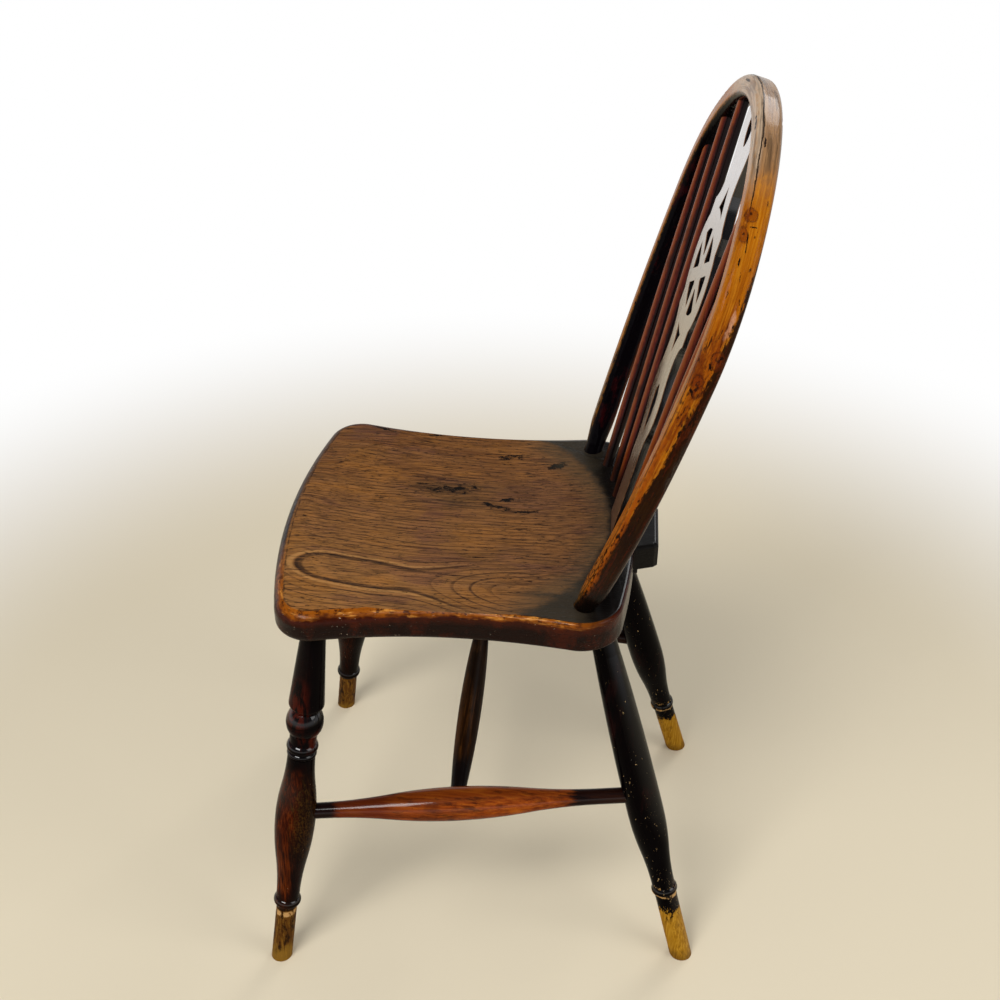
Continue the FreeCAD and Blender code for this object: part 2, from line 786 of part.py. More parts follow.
splat_board = doc.addObject("PartDesign::Body", "splat_board")
board = new_sketch(splat_board, "splat_outline", "XZ_Plane")
right_edge = [
    (foot_wide, -tongue),
    (foot_wide, wheel - taper[1], -bulge_curve),
    (bulge_middle[0], wheel - bulge_middle[1], bulge_curve),
    (bulge[0], wheel - bulge[1], neck_curve),
    (neck_middle[0], wheel - neck_middle[1], -neck_curve),
    (neck[0], wheel - neck[1], -ear_curve),
    (ear, wheel - ear_end),
    (ear, wheel - ear_turn, wheel_radius),
    (ear, wheel + ear_turn),
    (ear, wheel + ear_end, -ear_curve),
    (neck[0], wheel + neck[1], -neck_curve),
    (neck_middle[0], wheel + neck_middle[1], neck_curve),
    (bulge[0], wheel + bulge[1], top_curve),
    (top_half, wheel + top_place),
    (top_half, splat_length + top_tongue),
]
left_edge = []
for index in range(len(right_edge) - 1, -1, -1):
    point = right_edge[index]
    before = right_edge[index - 1] if index else ()
    left_edge.append((-point[0], point[1]) + tuple(before[2:3]))
outline(board, right_edge + left_edge)
board_pad = splat_board.newObject("PartDesign::Pad", "splat_pad")
board_pad.Profile = board
board_pad.Midplane = True
board_pad.setExpression("Length", "Sizes.splat_thickness")
doc.recompute()


def pierce(name, points):
    """A sawn opening right through the board."""
    sketch = new_sketch(splat_board, name + "_outline", "XZ_Plane")
    outline(sketch, points)
    opening = splat_board.newObject("PartDesign::Pocket", name)
    opening.Profile = sketch
    opening.Midplane = True
    opening.setExpression("Length", "Sizes.splat_thickness * 2")
    return opening


# The wheel's six windows lie between its spokes.
window_out = size("wheel_window_radius")
hub = size("wheel_hub_radius")
spoke_half = size("wheel_spoke_width") / 2
spoke_cos = math.cos(math.radians(30))
spoke_sin = math.sin(math.radians(30))
out_reach = (window_out * window_out - spoke_half * spoke_half).root()
hub_reach = (hub * hub - spoke_half * spoke_half).root()
out_x = out_reach * spoke_cos + spoke_half * spoke_sin
out_z = out_reach * spoke_sin - spoke_half * spoke_cos
hub_x = hub_reach * spoke_cos + spoke_half * spoke_sin
hub_z = hub_reach * spoke_sin - spoke_half * spoke_cos
for turn in range(6):
    angle = math.radians(60 * turn)
    corners = []
    for x, z, radius in (
            (hub_x, -hub_z, None), (out_x, -out_z, window_out),
            (out_x, out_z, None), (hub_x, hub_z, -hub)):
        spot = (
            x * math.cos(angle) - z * math.sin(angle),
            x * math.sin(angle) + z * math.cos(angle) + wheel,
        )
        corners.append(spot if radius is None else spot + (radius,))
    pierce("wheel_window_%d" % (turn + 1), corners)

# A small three-cornered opening and a leaf-shaped slot above and below the wheel.
spandrel = size("spandrel_half")
spandrel_base = (wheel_radius * wheel_radius - spandrel * spandrel).root()
point_up = size("spandrel_point")
hollow = size("spandrel_hollow")
slot_start = size("slot_start")
slot_wide = (size("slot_half"), size("slot_widest_place"))
slot_end = size("slot_end")
short_run = slot_wide[1] - slot_start
long_run = slot_end - slot_wide[1]
short_curve = (short_run * short_run + slot_wide[0] * slot_wide[0]) / (slot_wide[0] * 2)
long_curve = (long_run * long_run + slot_wide[0] * slot_wide[0]) / (slot_wide[0] * 2)
pierce("spandrel_above", [
    (spandrel, wheel + spandrel_base, -hollow),
    (0, wheel + point_up, -hollow),
    (-spandrel, wheel + spandrel_base, -wheel_radius),
])
pierce("spandrel_below", [
    (-spandrel, wheel - spandrel_base, -hollow),
    (0, wheel - point_up, -hollow),
    (spandrel, wheel - spandrel_base, -wheel_radius),
])
pierce("slot_below", [
    (0, wheel - slot_end, long_curve),
    (slot_wide[0], wheel - slot_wide[1], short_curve),
    (0, wheel - slot_start, short_curve),
    (-slot_wide[0], wheel - slot_wide[1], long_curve),
])
slot_top = splat_length + top_tongue * 2
pierce("slot_above", [
    (0, wheel + slot_start, short_curve),
    (slot_wide[0], wheel + slot_wide[1]),
    (slot_wide[0], slot_top),
    (-slot_wide[0], slot_top),
    (-slot_wide[0], wheel + slot_wide[1], short_curve),
])
splat_board.Placement = splat_frame
pieces["splat"] = splat_board


def mortise(name, low_x, high_x, low_z, high_z):
    """A square-cornered hole for the board, in the board's own frame."""
    tool = doc.addObject("Part::Box", name)
    gap = number(clearance)
    deep = number(size("splat_thickness")) + 2 * gap
    tool.Length = high_x - low_x + 2 * gap
    tool.setExpression("Width", "Sizes.splat_thickness + 2 * Sizes.joint_clearance")
    tool.Height = high_z - low_z
    corner = Placement(Vector(low_x - gap, -deep / 2, low_z), Rotation())
    tool.Placement = splat_frame.multiply(corner)
    return tool


seat_mortise = mortise(
    "splat_seat_mortise",
    -number(foot_wide), number(foot_wide),
    -number(tongue) - end_gap, number(tongue))
slot_half = number(slot_wide[0])
bow_low = number(splat_length) - number(size("bow_width"))
bow_high = number(splat_length) + number(top_tongue) + end_gap
bow_tools.append(mortise(
    "splat_bow_mortise_left", slot_half, number(top_half), bow_low, bow_high))
bow_tools.append(mortise(
    "splat_bow_mortise_right", -number(top_half), -slot_half, bow_low, bow_high))

pieces["bow"] = cut("bow", bow_bar, [
    seat_block, shaving, shaving_right, wedge_blank, wedge_kerf_right] + bow_tools)

# Seat: one board with a waisted outline and a short tail behind.
seat_board = doc.addObject("PartDesign::Body", "seat_board")
seat_sketch = new_sketch(seat_board, "seat_outline", "XY_Plane")
front_curve = size("seat_front_curve")
side_curve = size("seat_side_curve")
rear_curve = size("seat_rear_curve")
front_corner = size("seat_front_corner")
rear_corner = size("seat_rear_corner")
front_centre = Vector(0, number(front_curve - seat_front), 0)
side_centre = Vector(
    number(seat_waist + side_curve), number(size("seat_waist_place")), 0)
rear_centre = Vector(0, number(seat_back - rear_curve), 0)


def crossing(first, first_radius, second, second_radius, sign):
    """Where two circles cross, on the left of the way between them if sign is 1."""
    gap = (second - first).Length
    run = (first_radius ** 2 - second_radius ** 2 + gap ** 2) / (2 * gap)
    rise = math.sqrt(first_radius ** 2 - run ** 2) * sign
    way = (second - first).normalize()
    return first + way * run + Vector(-way.y, way.x, 0) * rise


def toward(start, stop, run):
    return start + (stop - start).normalize() * run


corner_front = crossing(
    front_centre, number(front_curve) - number(front_corner),
    side_centre, number(side_curve) + number(front_corner), -1)
corner_rear = crossing(
    rear_centre, number(rear_curve) - number(rear_corner),
    side_centre, number(side_curve) + number(rear_corner), 1)
front_meets = toward(front_centre, corner_front, number(front_curve))
side_front_meets = toward(side_centre, corner_front, number(side_curve))
side_rear_meets = toward(side_centre, corner_rear, number(side_curve))
rear_meets = toward(rear_centre, corner_rear, number(rear_curve))
tail_root = number(size("tail_root_half"))
tail_start = Vector(
    tail_root,
    rear_centre.y + math.sqrt(number(rear_curve) ** 2 - tail_root ** 2), 0)

# The seat's arcs touch smoothly. The right half mirrors the left one.
front_arc = seat_sketch.addGeometry(
    arc_between(front_centre, number(front_curve), other_side(front_meets), front_meets))
seat_sketch.addConstraint(Sketcher.Constraint("PointOnObject", front_arc, 3, -2))
rule = seat_sketch.addConstraint(
    Sketcher.Constraint("DistanceY", -1, 1, front_arc, 3, front_centre.y))
seat_sketch.setExpression(
    "Constraints[%d]" % rule, (front_curve - seat_front).words)


def set_radius(sketch, shape, radius):
    index = sketch.addConstraint(Sketcher.Constraint("Radius", shape, number(radius)))
    sketch.setExpression("Constraints[%d]" % index, radius.words)


set_radius(seat_sketch, front_arc, front_curve)
tail_ends = []
for side in (1, -1):
    turn = Vector if side > 0 else other_side
    runs = [
        (corner_front, front_corner, front_meets, side_front_meets),
        (side_centre, side_curve, side_front_meets, side_rear_meets),
        (corner_rear, rear_corner, side_rear_meets, rear_meets),
        (rear_centre, rear_curve, rear_meets, tail_start),
    ]
    arcs = []
    for centre, radius, start, stop in runs:
        arcs.append(seat_sketch.addGeometry(
            arc_between(turn(centre), number(radius), turn(start), turn(stop))))
        set_radius(seat_sketch, arcs[-1], radius)
    corner, flank, back_corner, back = arcs
    # Going round the left half, every arc but the hollow flank runs anticlockwise.
    first, last = (1, 2) if side > 0 else (2, 1)
    joints = [
        (front_arc, last, corner, first),
        (corner, last, flank, last),
        (flank, first, back_corner, first),
        (back_corner, last, back, first),
    ]
    for one, one_end, two, two_end in joints:
        seat_sketch.addConstraint(
            Sketcher.Constraint("Tangent", one, one_end, two, two_end))
    pin(seat_sketch, flank, 3, (
        (seat_waist + side_curve) * side, size("seat_waist_place")))
    seat_sketch.addConstraint(Sketcher.Constraint("PointOnObject", back, 3, -2))
    rule = seat_sketch.addConstraint(
        Sketcher.Constraint("DistanceY", -1, 1, back, 3, rear_centre.y))
    seat_sketch.setExpression(
        "Constraints[%d]" % rule, (seat_back - rear_curve).words)
    rule = seat_sketch.addConstraint(
        Sketcher.Constraint("DistanceX", -1, 1, back, last, side * tail_root))
    seat_sketch.setExpression(
        "Constraints[%d]" % rule, (size("tail_root_half") * side).words)
    tail_ends.append((back, last))

tail_points = [
    (size("tail_end_half"), size("tail_reach") - size("tail_corner")),
    (size("tail_end_half") - size("tail_corner"), size("tail_reach")),
    (size("tail_corner") - size("tail_end_half"), size("tail_reach")),
    (-size("tail_end_half"), size("tail_reach") - size("tail_corner")),
]
spots = [tail_start]
spots += [Vector(point[0].number, point[1].number, 0) for point in tail_points]
spots += [other_side(tail_start)]
tail_lines = []
for start, stop in zip(spots, spots[1:]):
    tail_lines.append(seat_sketch.addGeometry(Part.LineSegment(start, stop)))
for line, after, point in zip(tail_lines, tail_lines[1:], tail_points):
    seat_sketch.addConstraint(Sketcher.Constraint("Coincident", line, 2, after, 1))
    pin(seat_sketch, line, 2, point)
seat_sketch.addConstraint(Sketcher.Constraint(
    "Coincident", tail_ends[0][0], tail_ends[0][1], tail_lines[0], 1))
seat_sketch.addConstraint(Sketcher.Constraint(
    "Coincident", tail_lines[-1], 2, tail_ends[1][0], tail_ends[1][1]))
seat_pad = seat_board.newObject("PartDesign::Pad", "seat_pad")
seat_pad.Profile = seat_sketch
seat_pad.setExpression("Length", thickness.words)
seat_board.Placement.Base = Vector(0, 0, under_z)
doc.recompute()

# The seat's edges are rolled over, widely in front and hardly behind.
front_limit = side_front_meets.y
rear_limit = side_rear_meets.y


def roll(place, front, rear):
    share = (place - front_limit) / (rear_limit - front_limit)
    share = min(1.0, max(0.0, share))
    return front + (rear - front) * share


seat_rolled = doc.addObject("Part::Fillet", "seat_rolled")
seat_rolled.Base = seat_board
rolls = []
for index, line in enumerate(seat_board.Shape.Edges, start=1):
    heights = [corner.Z for corner in line.Vertexes]
    if max(heights) - min(heights) > number(thickness) / 2:
        continue
    upper = heights[0] > top_z - number(thickness) / 2
    if upper:
        front, rear = number(size("seat_roll_front")), number(size("seat_roll_rear"))
    else:
        front, rear = number(size("seat_under_front")), number(size("seat_under_rear"))
    ends = [roll(corner.Y, front, rear) for corner in line.Vertexes]
    rolls.append((index, ends[0], ends[-1]))
seat_rolled.Edges = rolls

# The hollow in the seat's top is part of a wide flat ball.
hollow_ball = doc.addObject("Part::Ellipsoid", "seat_hollow")
ball_half = size("hollow_ball_half_height")
share = 1 - size("hollow_depth") / ball_half
spread = (1 - share * share).root()
hollow_ball.setExpression("Radius1", ball_half.words)
hollow_ball.setExpression("Radius2", (size("hollow_half_width") / spread).words)
hollow_ball.setExpression("Radius3", (size("hollow_half_length") / spread).words)
hollow_ball.Placement.Base = Vector(
    0, number(size("hollow_place")), top_z + number(ball_half) - number(size("hollow_depth")))

# Sockets in the seat for the legs, and round holes through it for the bow.
seat_tools = [hollow_ball]
for label, radius, foot, socket in (
        ("front", size("front_top_radius"), front_foot, front_socket),
        ("rear", size("rear_top_radius"), rear_foot, rear_socket)):
    for side, turn in (("left", Vector), ("right", other_side)):
        seat_tools.append(rod(
            "%s_leg_socket_%s" % (label, side),
            radius + clearance,
            turn(beyond(foot, socket, -number(thickness))),
            turn(beyond(foot, socket, number(leg_tenon) + end_gap)),
        ))
for side, turn in (("left", Vector), ("right", other_side)):
    seat_tools.append(rod(
        "bow_hole_" + side,
        tenon_radius + clearance,
        turn(bow_foot + bow_down * (2 * number(thickness))),
        turn(bow_foot - bow_down * number(thickness)),
    ))

# The tail is a little thinner than the seat: its underside is stepped up.
tail_step = doc.addObject("Part::Box", "tail_step")
tail_step.setExpression("Length", (size("tail_root_half") * 2.5).words)
tail_step.setExpression("Width", size("tail_reach").words)
tail_step.setExpression("Height", (size("tail_under_step") * 2).words)
tail_step.Placement.Base = Vector(
    -tail_root * 1.25,
    number(seat_back + size("tail_under_setback")),
    under_z - number(size("tail_under_step")),
)
seat_tools.append(tail_step)
pieces["seat"] = cut("seat", seat_rolled, seat_tools + stick_tools + [seat_mortise])

doc.recompute()

# Every object must have been made, and every piece must be one sound solid.
for item in doc.Objects:
    faults = [word for word in item.State if word in ("Invalid", "Error")]
    if faults:
        raise RuntimeError("%s: %s" % (item.Name, ", ".join(faults)))
os.makedirs("parts", exist_ok=True)
for label, piece in pieces.items():
    shape = piece.Shape
    if shape.isNull() or not shape.isValid() or len(shape.Solids) != 1:
        raise RuntimeError("%s is not one sound solid" % label)
    piece.Label = label
for label, piece in pieces.items():
    piece.Shape.exportStep("parts/%s.step" % label)
    box = piece.Shape.optimalBoundingBox(False)
    print("%-22s volume %10.0f  x %7.1f %7.1f  y %7.1f %7.1f  z %6.1f %6.1f" % (
        label, piece.Shape.Volume, box.XMin, box.XMax,
        box.YMin, box.YMax, box.ZMin, box.ZMax))
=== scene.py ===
import math

import bpy
from mathutils import Matrix

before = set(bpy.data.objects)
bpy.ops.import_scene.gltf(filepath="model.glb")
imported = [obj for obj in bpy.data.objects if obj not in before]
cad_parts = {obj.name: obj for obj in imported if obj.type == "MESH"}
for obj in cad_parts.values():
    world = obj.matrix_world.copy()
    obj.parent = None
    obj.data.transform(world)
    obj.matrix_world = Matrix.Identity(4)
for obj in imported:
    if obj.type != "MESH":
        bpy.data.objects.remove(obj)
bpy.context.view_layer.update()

scene = bpy.context.scene


# Seat. One board of elm with a waisted outline, hollowed on top for sitting, its
# front and side arrises rounded and a short tail left behind for the splat.
# It was stained and polished, and years of use have worn the top to a satin.
def shade(red, green, blue):
    """A colour as the eye sees it, 0 to 255 a part, as a shader takes it."""
    parts = [part / 255 for part in (red, green, blue)]
    return tuple(((p + 0.055) / 1.055) ** 2.4 if p > 0.04 else p / 12.92 for p in parts) + (1.0,)


class Flow:
    """A value on its way through a finish. Sums on it add Math nodes."""

    def __init__(self, shading, socket):
        self.shading = shading
        self.socket = socket

    def math(self, operation, *values):
        return self.shading.node(
            "ShaderNodeMath", {"operation": operation}, dict(enumerate(values)))

    def __add__(self, other):
        return self.math("ADD", self, other)

    def __radd__(self, other):
        return self.math("ADD", other, self)

    def __sub__(self, other):
        return self.math("SUBTRACT", self, other)

    def __rsub__(self, other):
        return self.math("SUBTRACT", other, self)

    def __mul__(self, other):
        return self.math("MULTIPLY", self, other)

    def __rmul__(self, other):
        return self.math("MULTIPLY", other, self)

    def __truediv__(self, other):
        return self.math("DIVIDE", self, other)

    def __pow__(self, other):
        return self.math("POWER", self, other)

    def __abs__(self):
        return self.math("ABSOLUTE", self)

    def fade(self, low, high):
        """0 below low, 1 above high, smooth between; the other way round if low is the higher."""
        return self.shading.node(
            "ShaderNodeMapRange", {"interpolation_type": "SMOOTHSTEP"}, {0: self, 1: low, 2: high})


class Shading:
    """A tree of shader nodes, each of them added by the same method."""

    def __init__(self, tree):
        self.tree = tree

    def node(self, kind, settings=None, sockets=None, out=0):
        made = self.tree.nodes.new(kind)
        for name, value in (settings or {}).items():
            setattr(made, name, value)
        for name, value in (sockets or {}).items():
            if isinstance(value, Flow):
                self.tree.links.new(value.socket, made.inputs[name])
            else:
                made.inputs[name].default_value = value
        return Flow(self, made.outputs[out])

    def axes(self, vector):
        parts = self.node("ShaderNodeSeparateXYZ", None, {0: vector}).socket.node
        return [Flow(self, output) for output in parts.outputs]


class Finish(Shading):
    """A wood finish laid on in coats, each coat a colour, a sheen and a depth."""

    def __init__(self, name, colour, rough, coat=0.0, specular=0.5):
        self.material = bpy.data.materials.new(name)
        self.material.use_nodes = True
        super().__init__(self.material.node_tree)
        self.shader = self.tree.nodes["Principled BSDF"]
        self.shader.inputs["Specular IOR Level"].default_value = specular
        self.shader.inputs["Coat Roughness"].default_value = 0.10
        self.place = self.node("ShaderNodeTexCoord", out="Object")
        self.x, self.y, self.z = self.axes(self.place)
        self.colour = colour
        self.rough = rough
        self.coat = coat
        self.height = 0.0

    def joined(self, x, y, z):
        return self.node("ShaderNodeCombineXYZ", None, {0: x, 1: y, 2: z})

    def noise(self, size, stretch=(1, 1, 1), detail=2.0, rough=0.5, at=None):
        """A cloudy pattern from 0 to 1 with clouds of a size, drawn out where stretch is small."""
        drawn = self.node(
            "ShaderNodeVectorMath", {"operation": "MULTIPLY"}, {0: at or self.place, 1: stretch})
        return self.node("ShaderNodeTexNoise", None, {
            "Vector": drawn, "Scale": 1 / size, "Detail": detail, "Roughness": rough})

    def blend(self, amount, under, over):
        return self.node(
            "ShaderNodeMix", {"data_type": "RGBA"}, {0: amount, 6: under, 7: over}, out=2)

    def lay(self, mask, colour, rough=None, depth=0.0, coat=None):
        """One more coat where the mask is 1: its colour, its sheen and how far it is sunk."""
        self.colour = self.blend(mask, self.colour, colour)
        if rough is not None:
            self.rough = self.rough + mask * (rough - self.rough)
        if coat is not None:
            self.coat = self.coat + mask * (coat - self.coat)
        if depth:
            self.height = mask * -depth + self.height

    def patch(self, across, along, centre, half, turn=0.0, ragged=0.0, cloud=None):
        """A lens-shaped spot, half wide and half long, 1 in its middle and 0 outside."""
        turn = math.radians(turn)
        side = across - centre[0]
        run = along - centre[1]
        wide = (side * math.cos(turn) + run * math.sin(turn)) / half[0]
        long = (run * math.cos(turn) - side * math.sin(turn)) / half[1]
        spot = 1.0 - (wide * wide + long * long)
        if cloud is not None:
            spot = spot + (cloud - 0.5) * ragged
        return spot

    def onto(self, *names):
        """Joins the coats to the shader and gives the finish to the named pieces."""
        bump = self.node("ShaderNodeBump", None, {
            "Strength": 1.0, "Distance": 1.0, "Height": self.height})
        for socket, value in (
                ("Base Color", self.colour), ("Roughness", self.rough),
                ("Coat Weight", self.coat), ("Normal", bump)):
            if isinstance(value, Flow):
                self.tree.links.new(value.socket, self.shader.inputs[socket])
            else:
                self.shader.inputs[socket].default_value = value
        for name in names:
            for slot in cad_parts[name].material_slots:
                slot.material = self.material


HOLLOW = (0.172, 0.153)
HOLLOW_PLACE = -0.0447

elm = Finish("seat_elm", shade(116, 76, 39), 0.46, specular=0.08)
x, y, z = elm.x, elm.y, elm.z
facing = elm.axes(elm.node("ShaderNodeNewGeometry", out="Normal"))[2]

# The growth rings stand round a heart line that runs front to back under the left
# side. They close in one long loop at the front, open again in rounder ones behind
# it, and run nearly straight elsewhere.
sway = (elm.noise(0.15, (1, 0.5, 1), 2) - 0.5) * (x.fade(0.06, -0.04) * 0.030 + 0.004)
tremble = (elm.noise(0.022, (1, 0.22, 1), 3) - 0.5) * 0.0050
heart = y * 0.12 + 0.113
off_heart = x - heart + sway + tremble
front_rise = y.fade(-0.155, -0.225) * 0.0011
pinch = y.fade(-0.120, -0.075) * y.fade(-0.010, -0.070) * 0.00016
opening = y.fade(-0.083, 0.030) * 0.0015
ring = (off_heart * off_heart + front_rise + pinch - opening + 0.0022) ** 0.5
LOOP_RING = 0.0512
RING_STEP = 0.0051
rings = (ring - LOOP_RING) / RING_STEP + 20.0
saw = rings.math("FRACT", rings)
year = elm.noise(0.0050, (1, 0.02, 1), 1, at=elm.joined(ring, y, 0.0))
grainwise = elm.joined(x + sway, y, z)
early = saw.fade(0.34, 0.0) * (year * 1.5 - 0.05)
clear = x.fade(-0.10, 0.06) * 0.50 + 0.50

# Clouds of gold, brown and grey from wear, sitting and polish lie under the rings.
cloud = elm.noise(0.050, (1, 0.55, 1), 4, 0.6)
small_cloud = elm.noise(0.016, (1, 0.35, 1), 4, 0.6)
near_front = y.fade(0.02, -0.12) * x.fade(-0.02, 0.10)
elm.lay(near_front * 0.45, shade(150, 104, 50))
elm.lay(x.fade(0.04, 0.12) * 0.30, shade(152, 106, 60))
elm.lay(x.fade(-0.02, -0.12) * 0.70, shade(92, 52, 20))
elm.lay(cloud.fade(0.50, 0.60) * 0.55, shade(150, 96, 36))
elm.lay(cloud.fade(0.49, 0.39) * 0.62, shade(88, 54, 46))
elm.lay(y.fade(-0.03, 0.06) * 0.45, shade(88, 58, 42))
elm.lay(small_cloud.fade(0.50, 0.32) * 0.35, shade(84, 54, 32))
smudge = elm.noise(0.022, (1, 0.5, 1), 4)
middle = elm.patch(x, y, (-0.048, -0.048), (0.036, 0.060), 0, 2.0, smudge)
elm.lay(middle.fade(0.0, 1.2) * 0.75, shade(50, 40, 26))
elm.lay(year.fade(0.3, 0.7) * 0.5, shade(130, 88, 46))
elm.lay(early * clear * 0.80, shade(62, 39, 23))
elm.lay(abs(saw - 0.10).fade(0.10, 0.03) * year.fade(0.42, 0.60) * clear * 0.80,
        shade(46, 29, 16))
big_loop = abs(ring - LOOP_RING).fade(0.0012, 0.0005) * (elm.noise(0.02) * 0.4 + 0.7)
elm.lay(big_loop * y.fade(0.0, -0.05) * 0.90, shade(46, 31, 17))
pale_line = abs(ring - LOOP_RING - 0.0020).fade(0.0010, 0.0003) * y.fade(0.0, -0.08)
elm.lay(pale_line * 0.65, shade(176, 128, 72))

# Fibres, open pores in rows along the rings, and short splits filled with old polish.
fibre = elm.noise(0.0012, (1, 0.022, 1), 4, 0.6, at=grainwise)
elm.lay(fibre.fade(0.47, 0.66) * 0.44, shade(160, 106, 60), depth=0.00003)
elm.lay(fibre.fade(0.51, 0.34) * 0.76, shade(56, 32, 19))
pore = elm.noise(0.00095, (1, 0.12, 1), 3, 0.6, at=grainwise)
pore_rows = pore + early * 0.05 + elm.noise(0.026, (1, 0.5, 1), 3) * 0.11
elm.lay(pore_rows.fade(0.655, 0.700) * 0.90, shade(32, 19, 10), 0.6, 0.00020)
split = elm.noise(0.0021, (1, 0.075, 1), 4, 0.6)
split_rows = split + elm.noise(0.040, (1, 0.8, 1), 3) * 0.15 + x.fade(0.05, -0.12) * 0.020
elm.lay(split_rows.fade(0.742, 0.772), shade(24, 14, 8), 0.7, 0.0004)
cross_mark = elm.noise(0.0012, (1, 0.45, 1), 2, 0.5, at=elm.joined(y, x, z))
elm.lay(cross_mark.fade(0.60, 0.72) * elm.noise(0.05).fade(0.50, 0.62) * x.fade(0.03, -0.05) * 0.4,
        shade(66, 42, 22))
torn = elm.noise(0.0056, (1, 0.50, 1), 7, 0.82)
for centre, half, turn, full in (
        ((-0.156, -0.142), (0.0030, 0.026), -22, 4.6),
        ((-0.157, -0.105), (0.0026, 0.034), 0, 4.4),
        ((-0.149, -0.080), (0.0030, 0.018), 4, 4.4),
        ((-0.133, 0.062), (0.0040, 0.024), -28, 4.4),
        ((-0.1450, 0.040), (0.0032, 0.018), -10, 4.4),
        ((-0.0300, -0.014), (0.0050, 0.012), -48, 4.6),
        ((-0.0240, 0.000), (0.0060, 0.018), -12, 5.0),
        ((-0.0200, 0.022), (0.0040, 0.024), 6, 4.6),
        ((-0.0400, 0.006), (0.0040, 0.018), 10, 5.4),
        ((-0.1160, 0.003), (0.0080, 0.022), 6, 5.8),
        ((-0.1000, 0.050), (0.0080, 0.016), 20, 6.0),
        ((-0.0560, -0.050), (0.0100, 0.034), 6, 6.6),
        ((-0.109, -0.193), (0.0012, 0.012), 26, 2.8),
        ((-0.118, 0.090), (0.0024, 0.020), -20, 4.4),
        ((-0.062, -0.085), (0.0014, 0.016), 0, 4.4),
        ((0.010, 0.020), (0.0012, 0.022), 3, 4.6),
        ((0.060, -0.020), (0.0012, 0.018), 0, 4.6),
        ((0.120, 0.064), (0.0014, 0.012), 12, 4.0)):
    spot = elm.patch(x, y, centre, half, turn, full, torn)
    elm.lay(spot.fade(0.60, 1.00), shade(18, 12, 8), 0.7, 0.0006)

# Behind the hollow the top keeps its first dark polish, blackest at the sticks' feet. Its grey is
# partly painted sheen: a grey zone before the rim and the grey of the rim stand in for a reflection
# of the bright room.
bowl_x = x / HOLLOW[0]
bowl_y = (y - HOLLOW_PLACE) / HOLLOW[1]
beyond_bowl = (bowl_x * bowl_x + bowl_y * bowl_y) ** 0.5
rim = (beyond_bowl + (elm.noise(0.012, (1, 1, 1), 4, 0.6) - 0.5) * 0.09).fade(0.955, 1.03)
rim = rim * y.fade(-0.005, 0.045)
# Painted sheen: a grey zone before the rim, a painted reflection of the bright room.
painted_grey_sheen = (beyond_bowl + (cloud - 0.5) * 0.20).fade(0.76, 0.97) * y.fade(-0.010, 0.050)
elm.lay(painted_grey_sheen * 0.55, shade(70, 62, 46), 0.36)
# The rim is dark polish, and its grey tone is partly a painted sheen.
elm.lay(rim * 0.92, shade(50, 45, 36), 0.30, coat=0.30)
by_feet = (y + (elm.noise(0.02, (1, 1, 1), 3) - 0.5) * 0.02).fade(0.076, 0.104)
elm.lay(by_feet * rim, shade(15, 12, 10), 0.28, coat=0.25)
elm.lay(elm.noise(0.0035, (1, 1, 1), 4, 0.6).fade(0.58, 0.70) * rim * 0.5, shade(26, 21, 17), 0.4)

# The edge is dark red-brown below and golden along the arris, with dark specks,
# a ragged line of old polish at the top, and small pale chips. The gold is worn wood and also a
# painted highlight of the top-lit arris; the near edge is painted lighter towards its top, and
# cream specks in the gold are painted glints.
edge = facing.fade(0.955, 0.86)
edge_cloud = elm.noise(0.022, (1, 1, 0.6), 4, 0.6)
edge_grain = elm.noise(0.0024, (0.12, 0.12, 1), 4, 0.6)
elm.lay(edge, shade(22, 5, 2), 0.24, coat=0.04)
elm.lay(edge * edge_cloud.fade(0.52, 0.68) * 0.40, shade(76, 24, 4))
elm.lay(edge * edge_grain.fade(0.50, 0.68) * 0.7, shade(16, 6, 4))
worn = z + (edge_cloud - 0.5) * 0.010 + (elm.noise(0.0030, (0.4, 0.4, 1), 4, 0.6) - 0.5) * 0.007
# Painted light: the near edge is lighter towards its top.
elm.lay(edge * worn.fade(0.4260, 0.4350) * x.fade(0.05, 0.14) * 0.35, shade(84, 28, 5))
# The golden arris is worn wood and a painted highlight of the lit arris, darker on the far side.
gold = worn.fade(0.4352, 0.4398) * facing.fade(0.978, 0.95) * y.fade(0.118, 0.070)
elm.lay(gold * x.fade(0.02, -0.06) * 0.8, shade(70, 44, 24), 0.4)
gold = gold * x.fade(0.05, 0.14)
elm.lay(gold * 0.92, shade(144, 76, 10), 0.24)
# Painted glints: pale cream specks in the gold.
elm.lay(gold * edge_grain.fade(0.48, 0.34) * 0.85, shade(214, 146, 62))
elm.lay(gold * worn.fade(0.4400, 0.4360) * 0.6, shade(104, 44, 6))
elm.lay(gold * elm.noise(0.0026, (0.35, 0.35, 1), 5, 0.7).fade(0.50, 0.62) * 0.9, shade(56, 22, 5))
old_line = facing.fade(0.992, 0.982) * facing.fade(0.955, 0.970) * y.fade(0.12, 0.08)
elm.lay(old_line * elm.noise(0.0045, (0.4, 0.4, 1), 3, 0.6).fade(0.40, 0.55) * 0.75,
        shade(44, 24, 10))
chip = elm.noise(0.0011, (0.22, 0.22, 1), 4, 0.65) + elm.noise(0.02) * 0.22
elm.lay(edge * chip.fade(0.810, 0.835), shade(214, 194, 170), 0.5, 0.0001)
elm.lay(edge * elm.noise(0.0018, (1, 1, 1), 2).fade(0.74, 0.77), shade(10, 5, 3), 0.5, 0.0003)

